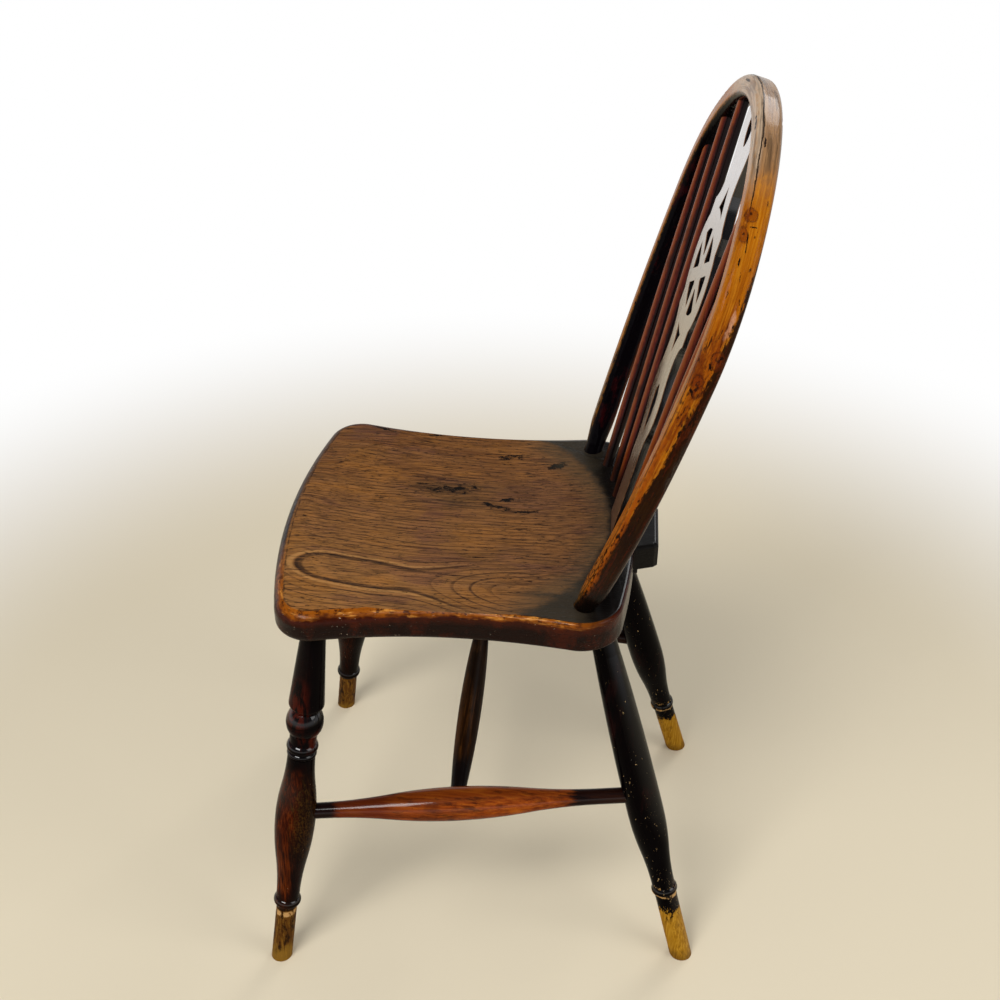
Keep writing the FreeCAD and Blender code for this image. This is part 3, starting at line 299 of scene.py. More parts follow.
# The tail and the underside are nearly black, and the underside shows the saw. The tail's black is
# dark polish and also painted shade of its side.
tail = y.fade(0.128, 0.134) * abs(x).fade(0.047, 0.044)
elm.lay(tail, shade(12, 9, 7), 0.45)
below = facing.fade(-0.35, -0.6)
elm.lay(below, shade(46, 31, 19), 0.75, coat=0.0)
saw_mark = elm.noise(0.002, (0.1, 1, 1), 2).fade(0.5, 0.7)
elm.lay(below * saw_mark * 0.5, shade(28, 18, 11), 0.8, 0.0002)
hand_cut = elm.noise(0.018, (1, 0.5, 1), 2)
elm.height = elm.height + (fibre - 0.5) * 0.00009 + (hand_cut - 0.5) * 0.0012
elm.rough = elm.rough + (cloud - 0.5) * 0.12
elm.onto("seat")


# Bow. One rail of yew or ash, steamed and bent in a hoop, its section rounded at
# every edge, both ends driven into the seat. The black inside face keeps its paint, and its black
# is also painted shade of the face turned inwards;
# the outside is worn through to amber wood, with knots and dents on the left leg.
BOW_START = (0.0873, 0.442)
BOW_LEAN = math.radians(16.6)
LEG = (-0.5013, 0.285, 0.6963)
SHOULDER = (0.070, 0.285, 0.125)
CROWN = (0.0, 0.2244, 0.2176)
MEET = math.atan2(SHOULDER[1] - CROWN[1], SHOULDER[0])
TO_TOP = SHOULDER[2] * MEET + CROWN[2] * (math.pi / 2 - MEET)
bow = Finish("bow_amber", shade(160, 90, 8), 0.20, specular=0.04)
x, y, z = bow.x, bow.y, bow.z
back = y - BOW_START[0]
up = z - BOW_START[1]
rise = back * math.sin(BOW_LEAN) + up * math.cos(BOW_LEAN)
rearward = back * math.cos(BOW_LEAN) - up * math.sin(BOW_LEAN)
half = abs(x)
left = x.fade(-0.0005, 0.0005)


def round_arc(arc):
    """How far outside an arc of the bow's middle line, and the angle round its centre."""
    side = half - arc[0]
    high = rise - arc[1]
    reach = (side * side + high * high) ** 0.5
    return reach - arc[2], high.math("ARCTAN2", high, side)


leg_out, leg_turn = round_arc(LEG)
shoulder_out, shoulder_turn = round_arc(SHOULDER)
crown_out, crown_turn = round_arc(CROWN)
on_leg = rise.math("LESS_THAN", rise, LEG[1])
tangent = (rise - CROWN[1]) * SHOULDER[0] - half * (SHOULDER[1] - CROWN[1])
on_crown = rise.math("GREATER_THAN", tangent, 0.0)
on_shoulder = 1.0 - on_leg - on_crown
outward = leg_out * on_leg + shoulder_out * on_shoulder + crown_out * on_crown
bow_run = (leg_turn * LEG[2] * on_leg + shoulder_turn * SHOULDER[2] * on_shoulder
           + ((crown_turn - MEET) * CROWN[2] + SHOULDER[2] * MEET) * on_crown)
round_hoop = bow_run * left + (2 * TO_TOP - bow_run) * (1.0 - left)
stretched = bow.joined(outward, rearward, round_hoop)
lower = bow_run.fade(0.100, 0.010) * left + bow_run.fade(0.26, 0.12) * (1.0 - left) * 0.3
RIGHT_LEG = 2.0  # added to the run along the bow, so that each leg has its own marks
bow_run = bow_run + (1.0 - left) * RIGHT_LEG

grain = bow.noise(0.0016, (1, 1, 0.03), 4, 0.6, at=stretched)
streak = bow.noise(0.0050, (1, 1, 0.07), 4, 0.6, at=stretched)
mottle = bow.noise(0.014, (1, 1, 0.40), 5, 0.65, at=stretched)
bow.lay(lower * 0.60, shade(134, 58, 5))
bow.lay(grain.fade(0.44, 0.70) * 0.45, shade(196, 136, 34))
bow.lay(grain.fade(0.50, 0.28) * 0.55, shade(112, 60, 10))
bow.lay(streak.fade(0.48, 0.62) * (lower * 0.55 + 0.30), shade(112, 46, 5))
bow.lay(mottle.fade(0.50, 0.60) * (lower * 0.55 + 0.12), shade(96, 36, 5))
bow.lay(streak.fade(0.60, 0.68) * mottle.fade(0.44, 0.56) * (lower * 0.8 + 0.1), shade(44, 15, 5))
bow.lay(mottle.fade(0.44, 0.28) * 0.55, shade(208, 132, 20))
fleck = bow.noise(0.0026, (1, 1, 0.22), 4, 0.65, at=stretched)
bow.lay((fleck + mottle * 0.16 + lower * 0.03).fade(0.735, 0.765) * 0.85,
        shade(38, 15, 5), 0.5, 0.0002)

# The crown is handled most and has gone pale and grey, and its pale grey is also a painted glare of
# the bright window.
pale = (rise + (mottle - 0.5) * 0.03).fade(0.402, 0.434)
bow.lay(pale * 0.75, shade(146, 118, 86), 0.30, coat=0.28)
# Painted reflection: a cream band along the front face of the crown.
bow.lay(pale * rearward.fade(-0.004, -0.009) * 0.7, shade(204, 182, 156), 0.4, coat=0.2)
bow.lay(pale * streak.fade(0.48, 0.60) * 0.8, shade(92, 68, 44))
bow.lay(pale * grain.fade(0.52, 0.40) * 0.4, shade(70, 50, 34))
# Towards the seat and round the back, black polish still covers the wood.
ragged = bow.noise(0.009, (1, 1, 0.30), 6, 0.70, at=stretched) - 0.5
fine = bow.noise(0.0024, (1, 1, 0.35), 4, 0.65, at=stretched) - 0.5
low = bow_run + ragged * 0.20 + fine * 0.12 - (rearward + 0.003) * 15.0
low_right = (low - (RIGHT_LEG - 0.015)).fade(-0.045, -0.110)
kept = low.fade(-0.070, -0.105) * left + low_right * (1.0 - left)
bow.lay(kept * 0.96, shade(20, 7, 3), 0.20)
bow.lay(kept * (streak + fine * 0.4).fade(0.52, 0.64) * 0.5, shade(76, 26, 5))
still_gold = (rearward + ragged * 0.006).fade(-0.0045, -0.0085) * (fine + 0.5).fade(0.38, 0.54)
bow.lay(still_gold * left * (bow_run + ragged * 0.1).fade(-0.02, -0.08) * 0.80, shade(154, 74, 8))
foot = (z + ragged * 0.03).fade(0.488, 0.464)
bow.lay(foot * 0.95, shade(8, 5, 4), 0.20)
# Painted shade: the inside face is near black, dark paint and the shade of the face turned inwards.
inside = (outward + ragged * 0.0035).fade(-0.0058, -0.0074)
bow.lay(inside, shade(5, 3, 5), 0.18, coat=0.0)
bow.lay(inside * mottle.fade(0.54, 0.70) * 0.6, shade(52, 8, 10))
behind = (rearward + ragged * 0.008).fade(0.0072, 0.0098) * outward.fade(0.010, 0.002)
bow.lay(behind * 0.75, shade(66, 28, 8))

# The front arris is worn by rubbing and carries a painted highlight, a pale line along it, with a
# dark line of old polish beside it and along the crown.
arris_wear_and_highlight = (rearward + ragged * 0.0030).fade(-0.0088, -0.0102)
bow.lay(arris_wear_and_highlight * (fine + 0.5).fade(0.35, 0.60) * 0.35, shade(176, 116, 44), 0.3)
line = abs(outward - 0.0064 + ragged * 0.0022).fade(0.0008, 0.0002) * rearward.fade(-0.006, -0.009)
bow.lay(line * (fine + 0.5).fade(0.36, 0.52) * bow_run.fade(0.05, 0.01) * 0.85,
        shade(34, 16, 7), 0.5, 0.0002)
high_line = abs(rearward + 0.0066 + ragged * 0.005).fade(0.0008, 0.0002)
high_line = high_line * outward.fade(0.004, 0.006) * (rise + ragged * 0.05).fade(0.380, 0.410)
bow.lay(high_line * 0.95, shade(24, 13, 8), 0.5, 0.0005)
crown_split = bow.patch(
    outward, abs(half - 0.052), (0.0040, 0.0), (0.0022, 0.014), 0, 3.4, fine + 0.5)
bow.lay(crown_split.fade(0.5, 0.9) * rearward.fade(-0.007, -0.009) * on_crown,
        shade(26, 14, 9), 0.5, 0.0006)

# Below the knots the left leg is burred, darker and blotched.
burr = bow_run.fade(0.050, 0.020) * bow_run.fade(-0.060, -0.035) * left * outward.fade(0.0, 0.004)
bow.lay(burr * (mottle + fine * 0.8).fade(0.48, 0.58) * 0.5, shade(92, 36, 5))
bow.lay(burr * fine.fade(0.06, 0.14) * 0.8, shade(30, 11, 4), 0.5, 0.0003)
# Painted highlight: a pinkish pale patch on the left leg, a glare of the window.
painted_light = bow.patch(rearward, bow_run, (0.003, 0.048), (0.0030, 0.016), 0, 3.0, fine + 0.5)
bow.lay(painted_light.fade(0.2, 1.2) * left * 0.6, shade(200, 150, 120), 0.3)

# Knots, scars and dents of the left leg: place along the bow, place across it.
bite = bow.noise(0.0042, (1, 1, 0.7), 6, 0.75, at=stretched)
outer = outward.fade(0.0, 0.004)
for run, across, long, wide, deep in (
        (0.1274, -0.0046, 0.0066, 0.0050, 0.8), (0.1119, -0.0072, 0.0080, 0.0034, 0.7),
        (0.0213, 0.0029, 0.0080, 0.0052, 0.9), (-0.0020, -0.0034, 0.0120, 0.0052, 0.9)):
    knot = bow.patch(rearward, bow_run, (across, run), (wide, long), 14, 2.8, bite)
    bow.lay(knot.fade(-0.6, 0.8) * outer * 0.65, shade(108, 42, 6), None, -0.0002)
    bow.lay(abs(knot - 0.30).fade(0.22, 0.05) * outer * deep * 0.6, shade(52, 20, 5), 0.5, 0.0003)
    bow.lay(knot.fade(0.95, 1.20) * outer * 0.9, shade(34, 13, 5), 0.5, 0.0003)
for run, across, long, wide, turn in (
        (0.1186, -0.0020, 0.0010, 0.0072, 10), (0.1060, -0.0030, 0.0120, 0.0007, 6),
        (-0.0077, -0.0058, 0.0040, 0.0018, 30), (0.0240, 0.0052, 0.0022, 0.0030, -20),
        (0.0150, 0.0000, 0.0050, 0.0012, 30), (0.0900, -0.0050, 0.0060, 0.0008, 0),
        (-0.0460, -0.0010, 0.0090, 0.0014, 8), (-0.0300, 0.0035, 0.0110, 0.0012, -6),
        (0.0440, 0.0050, 0.0060, 0.0010, 0), (0.0620, 0.0040, 0.0050, 0.0009, 10),
        (0.0800, -0.0010, 0.0040, 0.0007, 10), (0.1400, 0.0060, 0.0060, 0.0007, 0),
        (0.1950, -0.0040, 0.0080, 0.0011, 0), (2.1500, 0.0020, 0.0100, 0.0010, 5),
        (2.0100, -0.0030, 0.0110, 0.0011, 0), (1.9200, 0.0010, 0.0080, 0.0014, 10)):
    scar = bow.patch(rearward, bow_run, (across, run), (wide, long), turn, 4.2, bite)
    bow.lay(scar.fade(0.5, 1.0) * outer, shade(26, 11, 5), 0.6, 0.0006)
bow.height = bow.height + (grain - 0.5) * 0.00008 + (mottle - 0.5) * 0.0010
bow.rough = bow.rough + (grain - 0.5) * 0.10
bow.onto("bow")


# Splat. A thin board of beech pierced with a six-spoked wheel and leaf-shaped slots,
# its foot in the seat and its head in the bow. Stained dark and varnished; the
# sawn edges are black, and a few fine cracks follow the grain.
SPLAT_START = (0.1133, 0.442)
SPLAT_LEAN = math.atan2(0.097417, 0.413995)
splat = Finish("splat_varnish", shade(118, 82, 56), 0.09, coat=1.0, specular=0.7)
x, y, z = splat.x, splat.y, splat.z
back = y - SPLAT_START[0]
up = z - SPLAT_START[1]
rise = back * math.sin(SPLAT_LEAN) + up * math.cos(SPLAT_LEAN)
through = back * math.cos(SPLAT_LEAN) - up * math.sin(SPLAT_LEAN)
board = splat.joined(x, through, rise)
grain = splat.noise(0.0020, (1, 1, 0.04), 4, 0.6, at=board)
cloud = splat.noise(0.030, (1, 1, 0.4), 3, 0.5, at=board)
splat.lay(grain.fade(0.45, 0.70) * 0.5, shade(142, 100, 70))
splat.lay(grain.fade(0.48, 0.30) * 0.5, shade(56, 33, 19))
splat.lay(cloud.fade(0.50, 0.70) * 0.4, shade(64, 36, 22))
foot_wear = (rise + (cloud - 0.5) * 0.06).fade(0.150, 0.060)
splat.lay(foot_wear * 0.85, shade(78, 47, 26), 0.32, coat=0.0)
splat.lay(foot_wear * grain.fade(0.5, 0.3) * 0.6, shade(64, 36, 17))
crack_edge = splat.noise(0.0035, (1, 1, 0.5), 5, 0.75, at=board)
for side_place, height, long, turn in (
        (0.0010, 0.286, 0.020, 4), (0.0020, 0.348, 0.012, -12), (-0.0050, 0.212, 0.010, 16),
        (0.0200, 0.300, 0.010, 0), (-0.0120, 0.052, 0.018, 3), (0.0140, 0.030, 0.014, -4)):
    crack = splat.patch(x, rise, (side_place, height), (0.0008, long), turn, 3.6, crack_edge)
    splat.lay(crack.fade(0.5, 1.0), shade(14, 8, 5), 0.5, 0.0005)
FACE = 0.0042
sawn = abs(through).fade(FACE, 0.0036)
splat.lay(sawn, shade(7, 6, 8), 0.20, coat=0.0)
splat.lay(sawn * grain.fade(0.58, 0.75) * 0.4, shade(30, 22, 20))
rub = abs(abs(through) - FACE).fade(0.0006, 0.0001)
splat.lay(rub * splat.noise(0.004, (1, 1, 0.5), 3, 0.5, at=board).fade(0.45, 0.62) * 0.55,
          shade(120, 84, 56), 0.3)
fleck = splat.noise(0.0012, (1, 1, 0.6), 2, 0.5, at=board)
splat.lay(fleck.fade(0.74, 0.78), shade(14, 9, 7), 0.5, 0.0001)
splat.height = splat.height + (grain - 0.5) * 0.00006 + (cloud - 0.5) * 0.0008
splat.onto("splat")


# Sticks. Six round beech rods, a little fuller in the middle, three on each side of
# the splat, their feet in the seat and their tips in the bow. Red-brown stain with patches of
# black polish; the side turned away is painted black as shade, and the front side is painted
# lighter, as if lit.
sticks = Finish("stick_stain", shade(74, 20, 11), 0.13, specular=0.10)
x, y, z = sticks.x, sticks.y, sticks.z
grain = sticks.noise(0.0016, (1, 1, 0.025), 4, 0.6)
cloud = sticks.noise(0.020, (1, 1, 0.25), 4, 0.6)
sticks.lay(grain.fade(0.45, 0.72) * 0.5, shade(116, 40, 20))
sticks.lay(grain.fade(0.48, 0.28) * 0.6, shade(30, 9, 5))
normal = sticks.axes(sticks.node("ShaderNodeNewGeometry", out="Normal"))
# Painted light: the side facing the front is lighter, as if lit.
painted_light = (normal[1] * -1.0 + (cloud - 0.5) * 0.5).fade(0.45, 0.95)
sticks.lay(painted_light * 0.8, shade(138, 68, 24), 0.26)
sticks.lay(painted_light * grain.fade(0.50, 0.30) * 0.5, shade(96, 42, 14))
# Painted shade: the side turned to the rear is black.
sticks.lay((normal[1] + (cloud - 0.5) * 0.6).fade(-0.55, -0.10) * 0.96, shade(6, 3, 4), 0.14)
sticks.lay(cloud.fade(0.58, 0.72) * 0.6, shade(22, 8, 6))
sticks.lay((z + (cloud - 0.5) * 0.05).fade(0.500, 0.455) * 0.85, shade(12, 8, 7), 0.2)
sticks.lay(sticks.noise(0.0016, (1, 1, 0.3), 3, 0.6).fade(0.74, 0.78), shade(10, 5, 4), 0.5, 0.0002)
sticks.height = sticks.height + (grain - 0.5) * 0.00004 + (cloud - 0.5) * 0.0004
sticks.onto(*("stick_%s_%s" % (place, side)
              for place in ("inner", "middle", "outer") for side in ("left", "right")))


# Front legs. Beech, turned with a vase-shaped lower part, two beads, a ball and a
# tapered top, and a ring above the foot. Black polish is worn to red-brown on the
# swell and to bare wood at the foot, under a pale scraped groove. The red-brown is laid on the
# front side only, as painted light, and the rear side and the right leg are darkened with painted
# shade.
front = Finish("front_leg_polish", shade(54, 15, 3), 0.18, specular=0.02)
x, y, z = front.x, front.y, front.z
RIGHT_TURNED_LOWER = 0.0135
left_foot = x.fade(-0.05, 0.05)
ankle = z + (1.0 - left_foot) * RIGHT_TURNED_LOWER
grain = front.noise(0.0018, (1, 1, 0.03), 4, 0.6)
streak = front.noise(0.0060, (1, 1, 0.10), 4, 0.6)
cloud = front.noise(0.022, (1, 1, 0.5), 5, 0.65)
crackle = front.noise(0.0016, (1, 1, 0.6), 4, 0.7)
front.lay(grain.fade(0.45, 0.70) * 0.65, shade(104, 42, 11))
front.lay(grain.fade(0.48, 0.28) * 0.65, shade(26, 7, 4))
front.lay(streak.fade(0.50, 0.64) * 0.75, shade(24, 9, 6))
front.lay(cloud.fade(0.50, 0.66) * 0.75, shade(16, 7, 6))
front.lay(crackle.fade(0.54, 0.66) * z.fade(0.20, 0.12) * 0.6, shade(20, 9, 5))
normal = front.axes(front.node("ShaderNodeNewGeometry", out="Normal"))
front.coat = normal[2].fade(0.18, 0.50) * 0.8
# Painted shade: the side turned to the rear is darker.
rearward = (normal[1] + (cloud - 0.5) * 0.8).fade(-0.15, 0.45)
front.lay(rearward * 0.85, shade(12, 6, 6))
olive = front.patch(x * 0.4 + y, z, (-0.105, 0.190), (0.016, 0.066), 0, 3.0,
                    front.noise(0.0036, (1, 1, 0.4), 5, 0.7))
front.lay(olive.fade(0.2, 1.2) * z.fade(0.10, 0.13) * crackle.fade(0.58, 0.40) * 0.42,
          shade(88, 60, 20), 0.4)
# Worn red-brown on the swell, laid on the front side only as painted light.
warm = z.fade(0.18, 0.13) * z.fade(0.085, 0.10) * (1.0 - rearward)
front.lay(warm * grain.fade(0.40, 0.62) * 0.45, shade(120, 54, 12))
# Painted shade: the right leg is darkened, as in the shadow of the seat.
front.lay((1.0 - left_foot) * 0.8, shade(9, 3, 2))
upper = (z + (cloud - 0.5) * 0.05).fade(0.226, 0.262)
front.lay(upper * 0.94, shade(6, 4, 5), 0.15)
# A red blush, laid on the front side only as painted light.
blush = (z + (cloud - 0.5) * 0.03).fade(0.365, 0.325) * z.fade(0.298, 0.312)
front.lay(blush * (1.0 - rearward) * streak.fade(0.60, 0.46) * 0.75, shade(70, 20, 9))
ball = z.fade(0.270, 0.279) * z.fade(0.302, 0.292) * cloud.fade(0.60, 0.44)
front.lay(ball * 0.65, shade(84, 24, 8))
for height in (0.2620, 0.2705, 0.2745, 0.3045, 0.3100):
    groove = abs(z - height).fade(0.0012, 0.0004)
    front.lay(groove * 0.7, shade(6, 4, 4), 0.5)

# The foot lost its polish: a pale scraped groove under the ring, then brown wood with
# dark smears, golden towards the floor.
foot_cloud = front.noise(0.0075, (1, 1, 0.45), 5, 0.70)
ring_black = ankle.fade(0.066, 0.070) * ankle.fade(0.094, 0.082)
front.lay(ring_black * 0.6, shade(14, 9, 5))
bare = (ankle + (foot_cloud - 0.5) * 0.010).fade(0.0725, 0.0690)
front.lay(bare * 0.95, shade(86, 52, 16), 0.45)
front.lay(bare * grain.fade(0.44, 0.66) * 0.6, shade(140, 98, 34))
front.lay(bare * foot_cloud.fade(0.50, 0.62) * 0.9, shade(30, 16, 7))
front.lay(bare * (ankle + (foot_cloud - 0.5) * 0.04).fade(0.026, 0.010) * 0.6,
          shade(150, 112, 40), 0.6)
scrape = (ankle + (crackle - 0.5) * 0.004).fade(0.0610, 0.0628) * ankle.fade(0.0692, 0.0672)
front.lay(scrape * left_foot * foot_cloud.fade(0.56, 0.48) * 0.95,
          shade(196, 152, 96), 0.55, 0.0003)
front.lay(abs(ankle - 0.0705).fade(0.0014, 0.0006) * 0.8, shade(16, 8, 5), 0.5, 0.0004)
pit = crackle + front.noise(0.025, (1, 1, 1), 2) * 0.12 + z.fade(0.20, 0.10) * 0.02
front.lay(pit.fade(0.775, 0.80), shade(10, 5, 3), 0.5, 0.0003)
chip = front.noise(0.0014, (1, 1, 0.6), 3, 0.6, at=front.joined(x + 3.0, y, z))
chip = chip + front.noise(0.03, (1, 1, 1), 2, at=front.joined(x, y + 5.0, z)) * 0.12
chip = chip + z.fade(0.17, 0.12) * z.fade(0.07, 0.10) * 0.035
front.lay(chip.fade(0.825, 0.845) * 0.9, shade(196, 170, 140), 0.5, 0.0002)
front.height = front.height + (grain - 0.5) * 0.00006 + (cloud - 0.5) * 0.0007
front.onto("front_leg_left", "front_leg_right")


# Rear legs. Plainer turned beech with one long swell and a ring above the foot. The
# black paint is thick down to the ring, flakes off below it, and leaves the foot bare.
rear = Finish("rear_leg_paint", shade(4, 2, 3), 0.16, specular=0.02)
x, y, z = rear.x, rear.y, rear.z
grain = rear.noise(0.0018, (1, 1, 0.04), 4, 0.6)
cloud = rear.noise(0.026, (1, 1, 0.35), 5, 0.6)
normal = rear.axes(rear.node("ShaderNodeNewGeometry", out="Normal"))
rear.coat = normal[2].fade(0.18, 0.50) * 0.8
rear.lay(cloud.fade(0.54, 0.74) * 0.75, shade(34, 10, 9))
rear.lay(cloud.fade(0.44, 0.28) * 0.5, shade(4, 4, 7))
rear.lay(grain.fade(0.58, 0.75) * cloud.fade(0.45, 0.6) * 0.35, shade(52, 22, 14))
foot_cloud = rear.noise(0.0075, (1, 1, 0.55), 5, 0.70)
flake = rear.noise(0.0024, (1, 1, 0.45), 5, 0.70)
bare = (z + (foot_cloud - 0.5) * 0.034 + (flake - 0.5) * 0.056).fade(0.0620, 0.0600)
rear.lay(bare, shade(160, 112, 24), 0.50, 0.0003)
rear.lay(bare * grain.fade(0.42, 0.68) * 0.65, shade(196, 148, 48))
rear.lay(bare * grain.fade(0.48, 0.30) * 0.65, shade(110, 70, 14))
rear.lay(bare * foot_cloud.fade(0.54, 0.68) * 0.6, shade(96, 60, 14))
rear.lay(bare * (z + (foot_cloud - 0.5) * 0.03).fade(0.014, 0.003) * 0.6, shade(96, 66, 24), 0.6)
ring_rub = abs(z - 0.0800 + (flake - 0.5) * 0.004).fade(0.0022, 0.0010)
ring_rub = ring_rub * foot_cloud.fade(0.40, 0.50)
rear.lay(ring_rub * 0.95, shade(190, 148, 92), 0.5, 0.0002)
ring_side = abs(z - 0.0900 + (flake - 0.5) * 0.006).fade(0.0024, 0.0010)
ring_side = ring_side * foot_cloud.fade(0.54, 0.60)
rear.lay(ring_side * 0.9, shade(170, 130, 76), 0.5, 0.0002)
group = rear.noise(0.020, (1, 1, 0.6), 3, 0.6)
chip = flake + z.fade(0.22, 0.09) * 0.030 + group * 0.22
rear.lay(chip.fade(0.790, 0.805) * z.fade(0.062, 0.066), shade(204, 170, 116), 0.55, 0.0003)
speck = rear.noise(0.0014, (1, 1, 0.35), 3, 0.6, at=rear.joined(x + 4.0, y, z))
rear.lay((speck + group * 0.18 + z.fade(0.30, 0.42) * 0.015).fade(0.875, 0.895),
         shade(190, 184, 180), 0.5)
rear.height = rear.height + (grain - 0.5) * 0.00006 + (cloud - 0.5) * 0.0007
rear.onto("rear_leg_left", "rear_leg_right")


# Side stretchers. Beech, turned with one long swell, each tenoned into a front and a
# rear leg. Red-brown stain shows on the swell; black polish stays at both ends.
side = Finish("side_stretcher_stain", shade(134, 58, 12), 0.18, specular=0.05)
x, y, z = side.x, side.y, side.z
grain = side.noise(0.0018, (1, 0.03, 1), 4, 0.6)
cloud = side.noise(0.022, (1, 0.4, 1), 5, 0.6)
figure = side.noise(0.0050, (1, 0.16, 1), 4, 0.65)
speck = side.noise(0.0014, (1, 0.35, 1), 4, 0.65)
side.lay(grain.fade(0.45, 0.70) * 0.55, shade(176, 94, 22))
side.lay(grain.fade(0.48, 0.28) * 0.55, shade(58, 18, 5))
side.lay(cloud.fade(0.52, 0.68) * 0.65, shade(60, 20, 6))
side.lay(figure.fade(0.54, 0.66) * 0.60, shade(40, 14, 5))
side.lay(speck.fade(0.60, 0.70) * 0.55, shade(34, 14, 6))
side.lay(cloud.fade(0.44, 0.30) * 0.50, shade(184, 98, 18))
normal = side.axes(side.node("ShaderNodeNewGeometry", out="Normal"))
side.coat = normal[2].fade(0.10, 0.45) * 0.35
# Painted shade: the underside is darker.
side.lay((normal[2] * -1.0 + (cloud - 0.5) * 0.6).fade(0.15, 0.8) * 0.70, shade(30, 10, 5))
reddish = (y + (cloud - 0.5) * 0.06).fade(-0.075, -0.110)
side.lay(reddish * 0.8, shade(84, 26, 8))
shelf = (normal[2] + (figure - 0.5) * 0.8).fade(0.55, 0.90)
side.lay(shelf * 0.40, shade(40, 17, 9))
ends = (y + (figure - 0.5) * 0.02).fade(-0.144, -0.156)
ends = ends.math("MAXIMUM", ends, (y + (figure - 0.5) * 0.03).fade(0.078, 0.092))
side.lay(ends * 0.95, shade(9, 6, 7), 0.18)
side.lay(speck.fade(0.74, 0.78), shade(12, 5, 3), 0.5, 0.0002)
side.height = side.height + (grain - 0.5) * 0.00006 + (cloud - 0.5) * 0.0008
side.onto("side_stretcher_left", "side_stretcher_right")


# Cross stretcher. A slimmer turned rail between the two side stretchers, its polish
# dulled by shoes on top to a grey brown.
cross = Finish("cross_stretcher_dull", shade(34, 15, 3), 0.36, specular=0.02)
x, y, z = cross.x, cross.y, cross.z
grain = cross.noise(0.0018, (0.03, 1, 1), 4, 0.6)
cloud = cross.noise(0.022, (0.4, 1, 1), 5, 0.6)
speck = cross.noise(0.0016, (0.5, 1, 1), 4, 0.65)
cross.lay(grain.fade(0.45, 0.70) * 0.65, shade(84, 50, 18))
cross.lay(grain.fade(0.48, 0.28) * 0.65, shade(20, 9, 4))
normal = cross.axes(cross.node("ShaderNodeNewGeometry", out="Normal"))
# Painted light: the front-facing side is lighter.
forward = (normal[1] * -1.0 + (cloud - 0.5) * 0.7).fade(0.15, 0.8) * x.fade(0.10, 0.05)
cross.lay(forward * 0.5, shade(84, 48, 12))
# Painted shade: the rear-facing side is darker.
cross.lay((normal[1] + (cloud - 0.5) * 0.6).fade(0.2, 0.8) * 0.7, shade(20, 11, 6))
dulled = (normal[2] + (cloud - 0.5) * 0.7).fade(0.6, 1.0) * x.fade(0.02, -0.06)
cross.lay(dulled * 0.30, shade(58, 38, 18), 0.5)
cross.lay(cloud.fade(0.46, 0.62) * 0.75, shade(20, 9, 3))
cross.lay(speck.fade(0.60, 0.70) * 0.6, shade(16, 9, 5))
cross.lay((abs(x) + (cloud - 0.5) * 0.04).fade(0.080, 0.110) * 0.92, shade(12, 9, 9), 0.25)
cross.lay(speck.fade(0.74, 0.77) * 0.6, shade(120, 100, 76), 0.5)
cross.height = cross.height + (grain - 0.5) * 0.00006 + (cloud - 0.5) * 0.0007
cross.onto("cross_stretcher")


# Wedges. A plain slip of oak driven from below into each end of the bow, which
# spreads the tenon in the seat.
wedge = Finish("wedge_oak", shade(122, 90, 54), 0.65)
grain = wedge.noise(0.0012, (1, 1, 0.06), 3, 0.6)
wedge.lay(grain.fade(0.45, 0.70) * 0.6, shade(150, 116, 74), depth=0.0001)
wedge.lay(grain.fade(0.48, 0.30) * 0.6, shade(78, 54, 31))
wedge.lay(wedge.noise(0.004).fade(0.55, 0.75) * 0.5, shade(60, 42, 26))
wedge.onto("bow_wedge_left", "bow_wedge_right")


# Floor. A pale studio sheet, warm near the chair and clean white further off.
FLOOR_RADIUS = 9.0
bpy.ops.object.select_all(action="DESELECT")
bpy.ops.mesh.primitive_circle_add(
    vertices=128, radius=FLOOR_RADIUS, fill_type="NGON", location=(0, 0, 0))
floor = bpy.context.object
floor.name = "studio_floor"
sheet = Finish("studio_sheet", shade(224, 211, 184), 0.8, specular=0.1)
away = (sheet.x * sheet.x + sheet.y * sheet.y) ** 0.5
camera_ray = sheet.node("ShaderNodeLightPath", out="Is Camera Ray")
glossy_ray = sheet.node("ShaderNodeLightPath", out="Is Glossy Ray")
white = sheet.node("ShaderNodeEmission", None, {"Strength": 1.0})
whitened = away.fade(0.65, 1.35) * camera_ray + away.fade(1.4, 2.8) * glossy_ray
sheet.onto()
mixed = sheet.node("ShaderNodeMixShader", None, {
    0: whitened, 1: Flow(sheet, sheet.shader.outputs[0]), 2: white})
output = sheet.tree.nodes["Material Output"]
sheet.tree.links.new(mixed.socket, output.inputs["Surface"])
floor.data.materials.append(sheet.material)


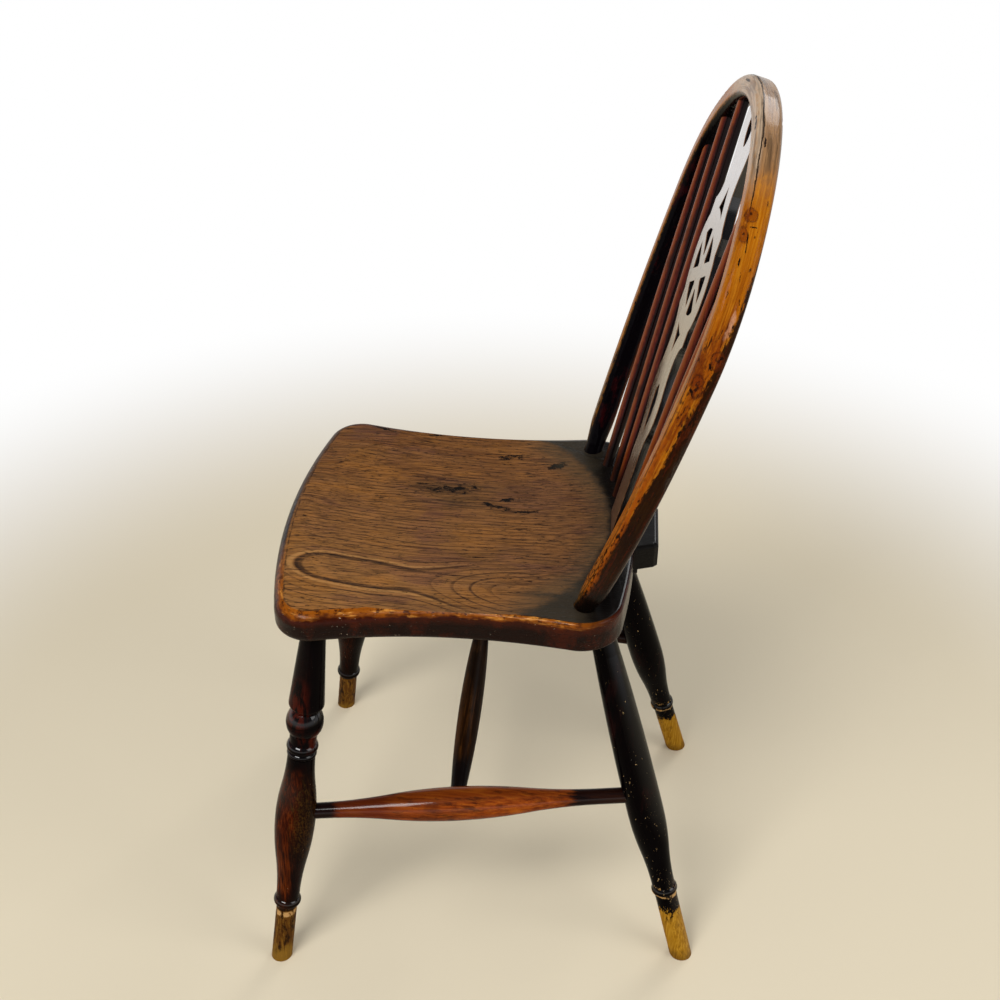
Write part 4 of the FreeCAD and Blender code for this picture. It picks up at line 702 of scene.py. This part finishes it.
# Light. A window-sized lamp above the front left, a weaker one from the right rear, a
# window behind that glosses the crown, and a white room with a dim ceiling.
def lamp(name, place, aim, size, power):
    """A square soft lamp that points at a place."""
    light = bpy.data.lights.new(name, "AREA")
    light.shape = "RECTANGLE"
    light.size, light.size_y = size
    light.energy = power
    holder = bpy.data.objects.new(name, light)
    scene.collection.objects.link(holder)
    holder.location = place
    reach = [a - p for a, p in zip(aim, place)]
    flat = math.hypot(reach[0], reach[1])
    holder.rotation_euler = (math.atan2(flat, -reach[2]), 0, math.atan2(-reach[0], reach[1]))


lamp("key_window", (1.5, -0.8, 2.3), (0, 0, 0.4), (1.1, 0.8), 42)
lamp("rear_fill", (0.8, 1.9, 1.5), (0, 0, 0.4), (1.2, 1.2), 14)
lamp("crown_window", (-2.0, 0.95, 2.05), (0, 0, 0.7), (1.0, 0.9), 17)

world = bpy.data.worlds.new("white_room")
scene.world = world
world.use_nodes = True
ROOM_TINT = (0.80, 0.82, 0.86, 1)
air = Shading(world.node_tree)
plain = world.node_tree.nodes["Background"]
plain.inputs["Color"].default_value = ROOM_TINT
plain.inputs["Strength"].default_value = 0.47
clean_white = air.node("ShaderNodeBackground", None, {"Color": (1, 1, 1, 1)})
ceiling = air.node("ShaderNodeBackground", None, {"Color": ROOM_TINT, "Strength": 0.12})
height = air.axes(air.node("ShaderNodeTexCoord", out="Generated"))[2]
mirrored = air.node("ShaderNodeMixShader", None, {
    0: height.fade(0.10, 0.32), 1: clean_white, 2: ceiling})
lit = air.node("ShaderNodeMixShader", None, {
    0: air.node("ShaderNodeLightPath", out="Is Glossy Ray"),
    1: Flow(air, plain.outputs[0]), 2: mirrored})
seen = air.node("ShaderNodeMixShader", None, {
    0: air.node("ShaderNodeLightPath", out="Is Camera Ray"), 1: lit, 2: clean_white})
world_end = world.node_tree.nodes["World Output"]
air.tree.links.new(seen.socket, world_end.inputs["Surface"])


# Camera. It stands at the sitter's left, above the seat, and looks down at the chair.
camera_data = bpy.data.cameras.new("camera")
camera_data.lens = 51.13
camera_data.sensor_width = 36
camera_data.clip_start = 0.05
camera_data.clip_end = 60
camera = bpy.data.objects.new("camera", camera_data)
scene.collection.objects.link(camera)
camera.location = (1.14774, 0.09394, 1.24705)
heading, tilt, roll = (math.radians(angle) for angle in (94.73, 55.72, 0.25))
camera.rotation_euler = (
    Matrix.Rotation(heading, 3, "Z") @ Matrix.Rotation(tilt, 3, "X")
    @ Matrix.Rotation(roll, 3, "Z")).to_euler()
scene.camera = camera
scene.view_settings.view_transform = "Standard"
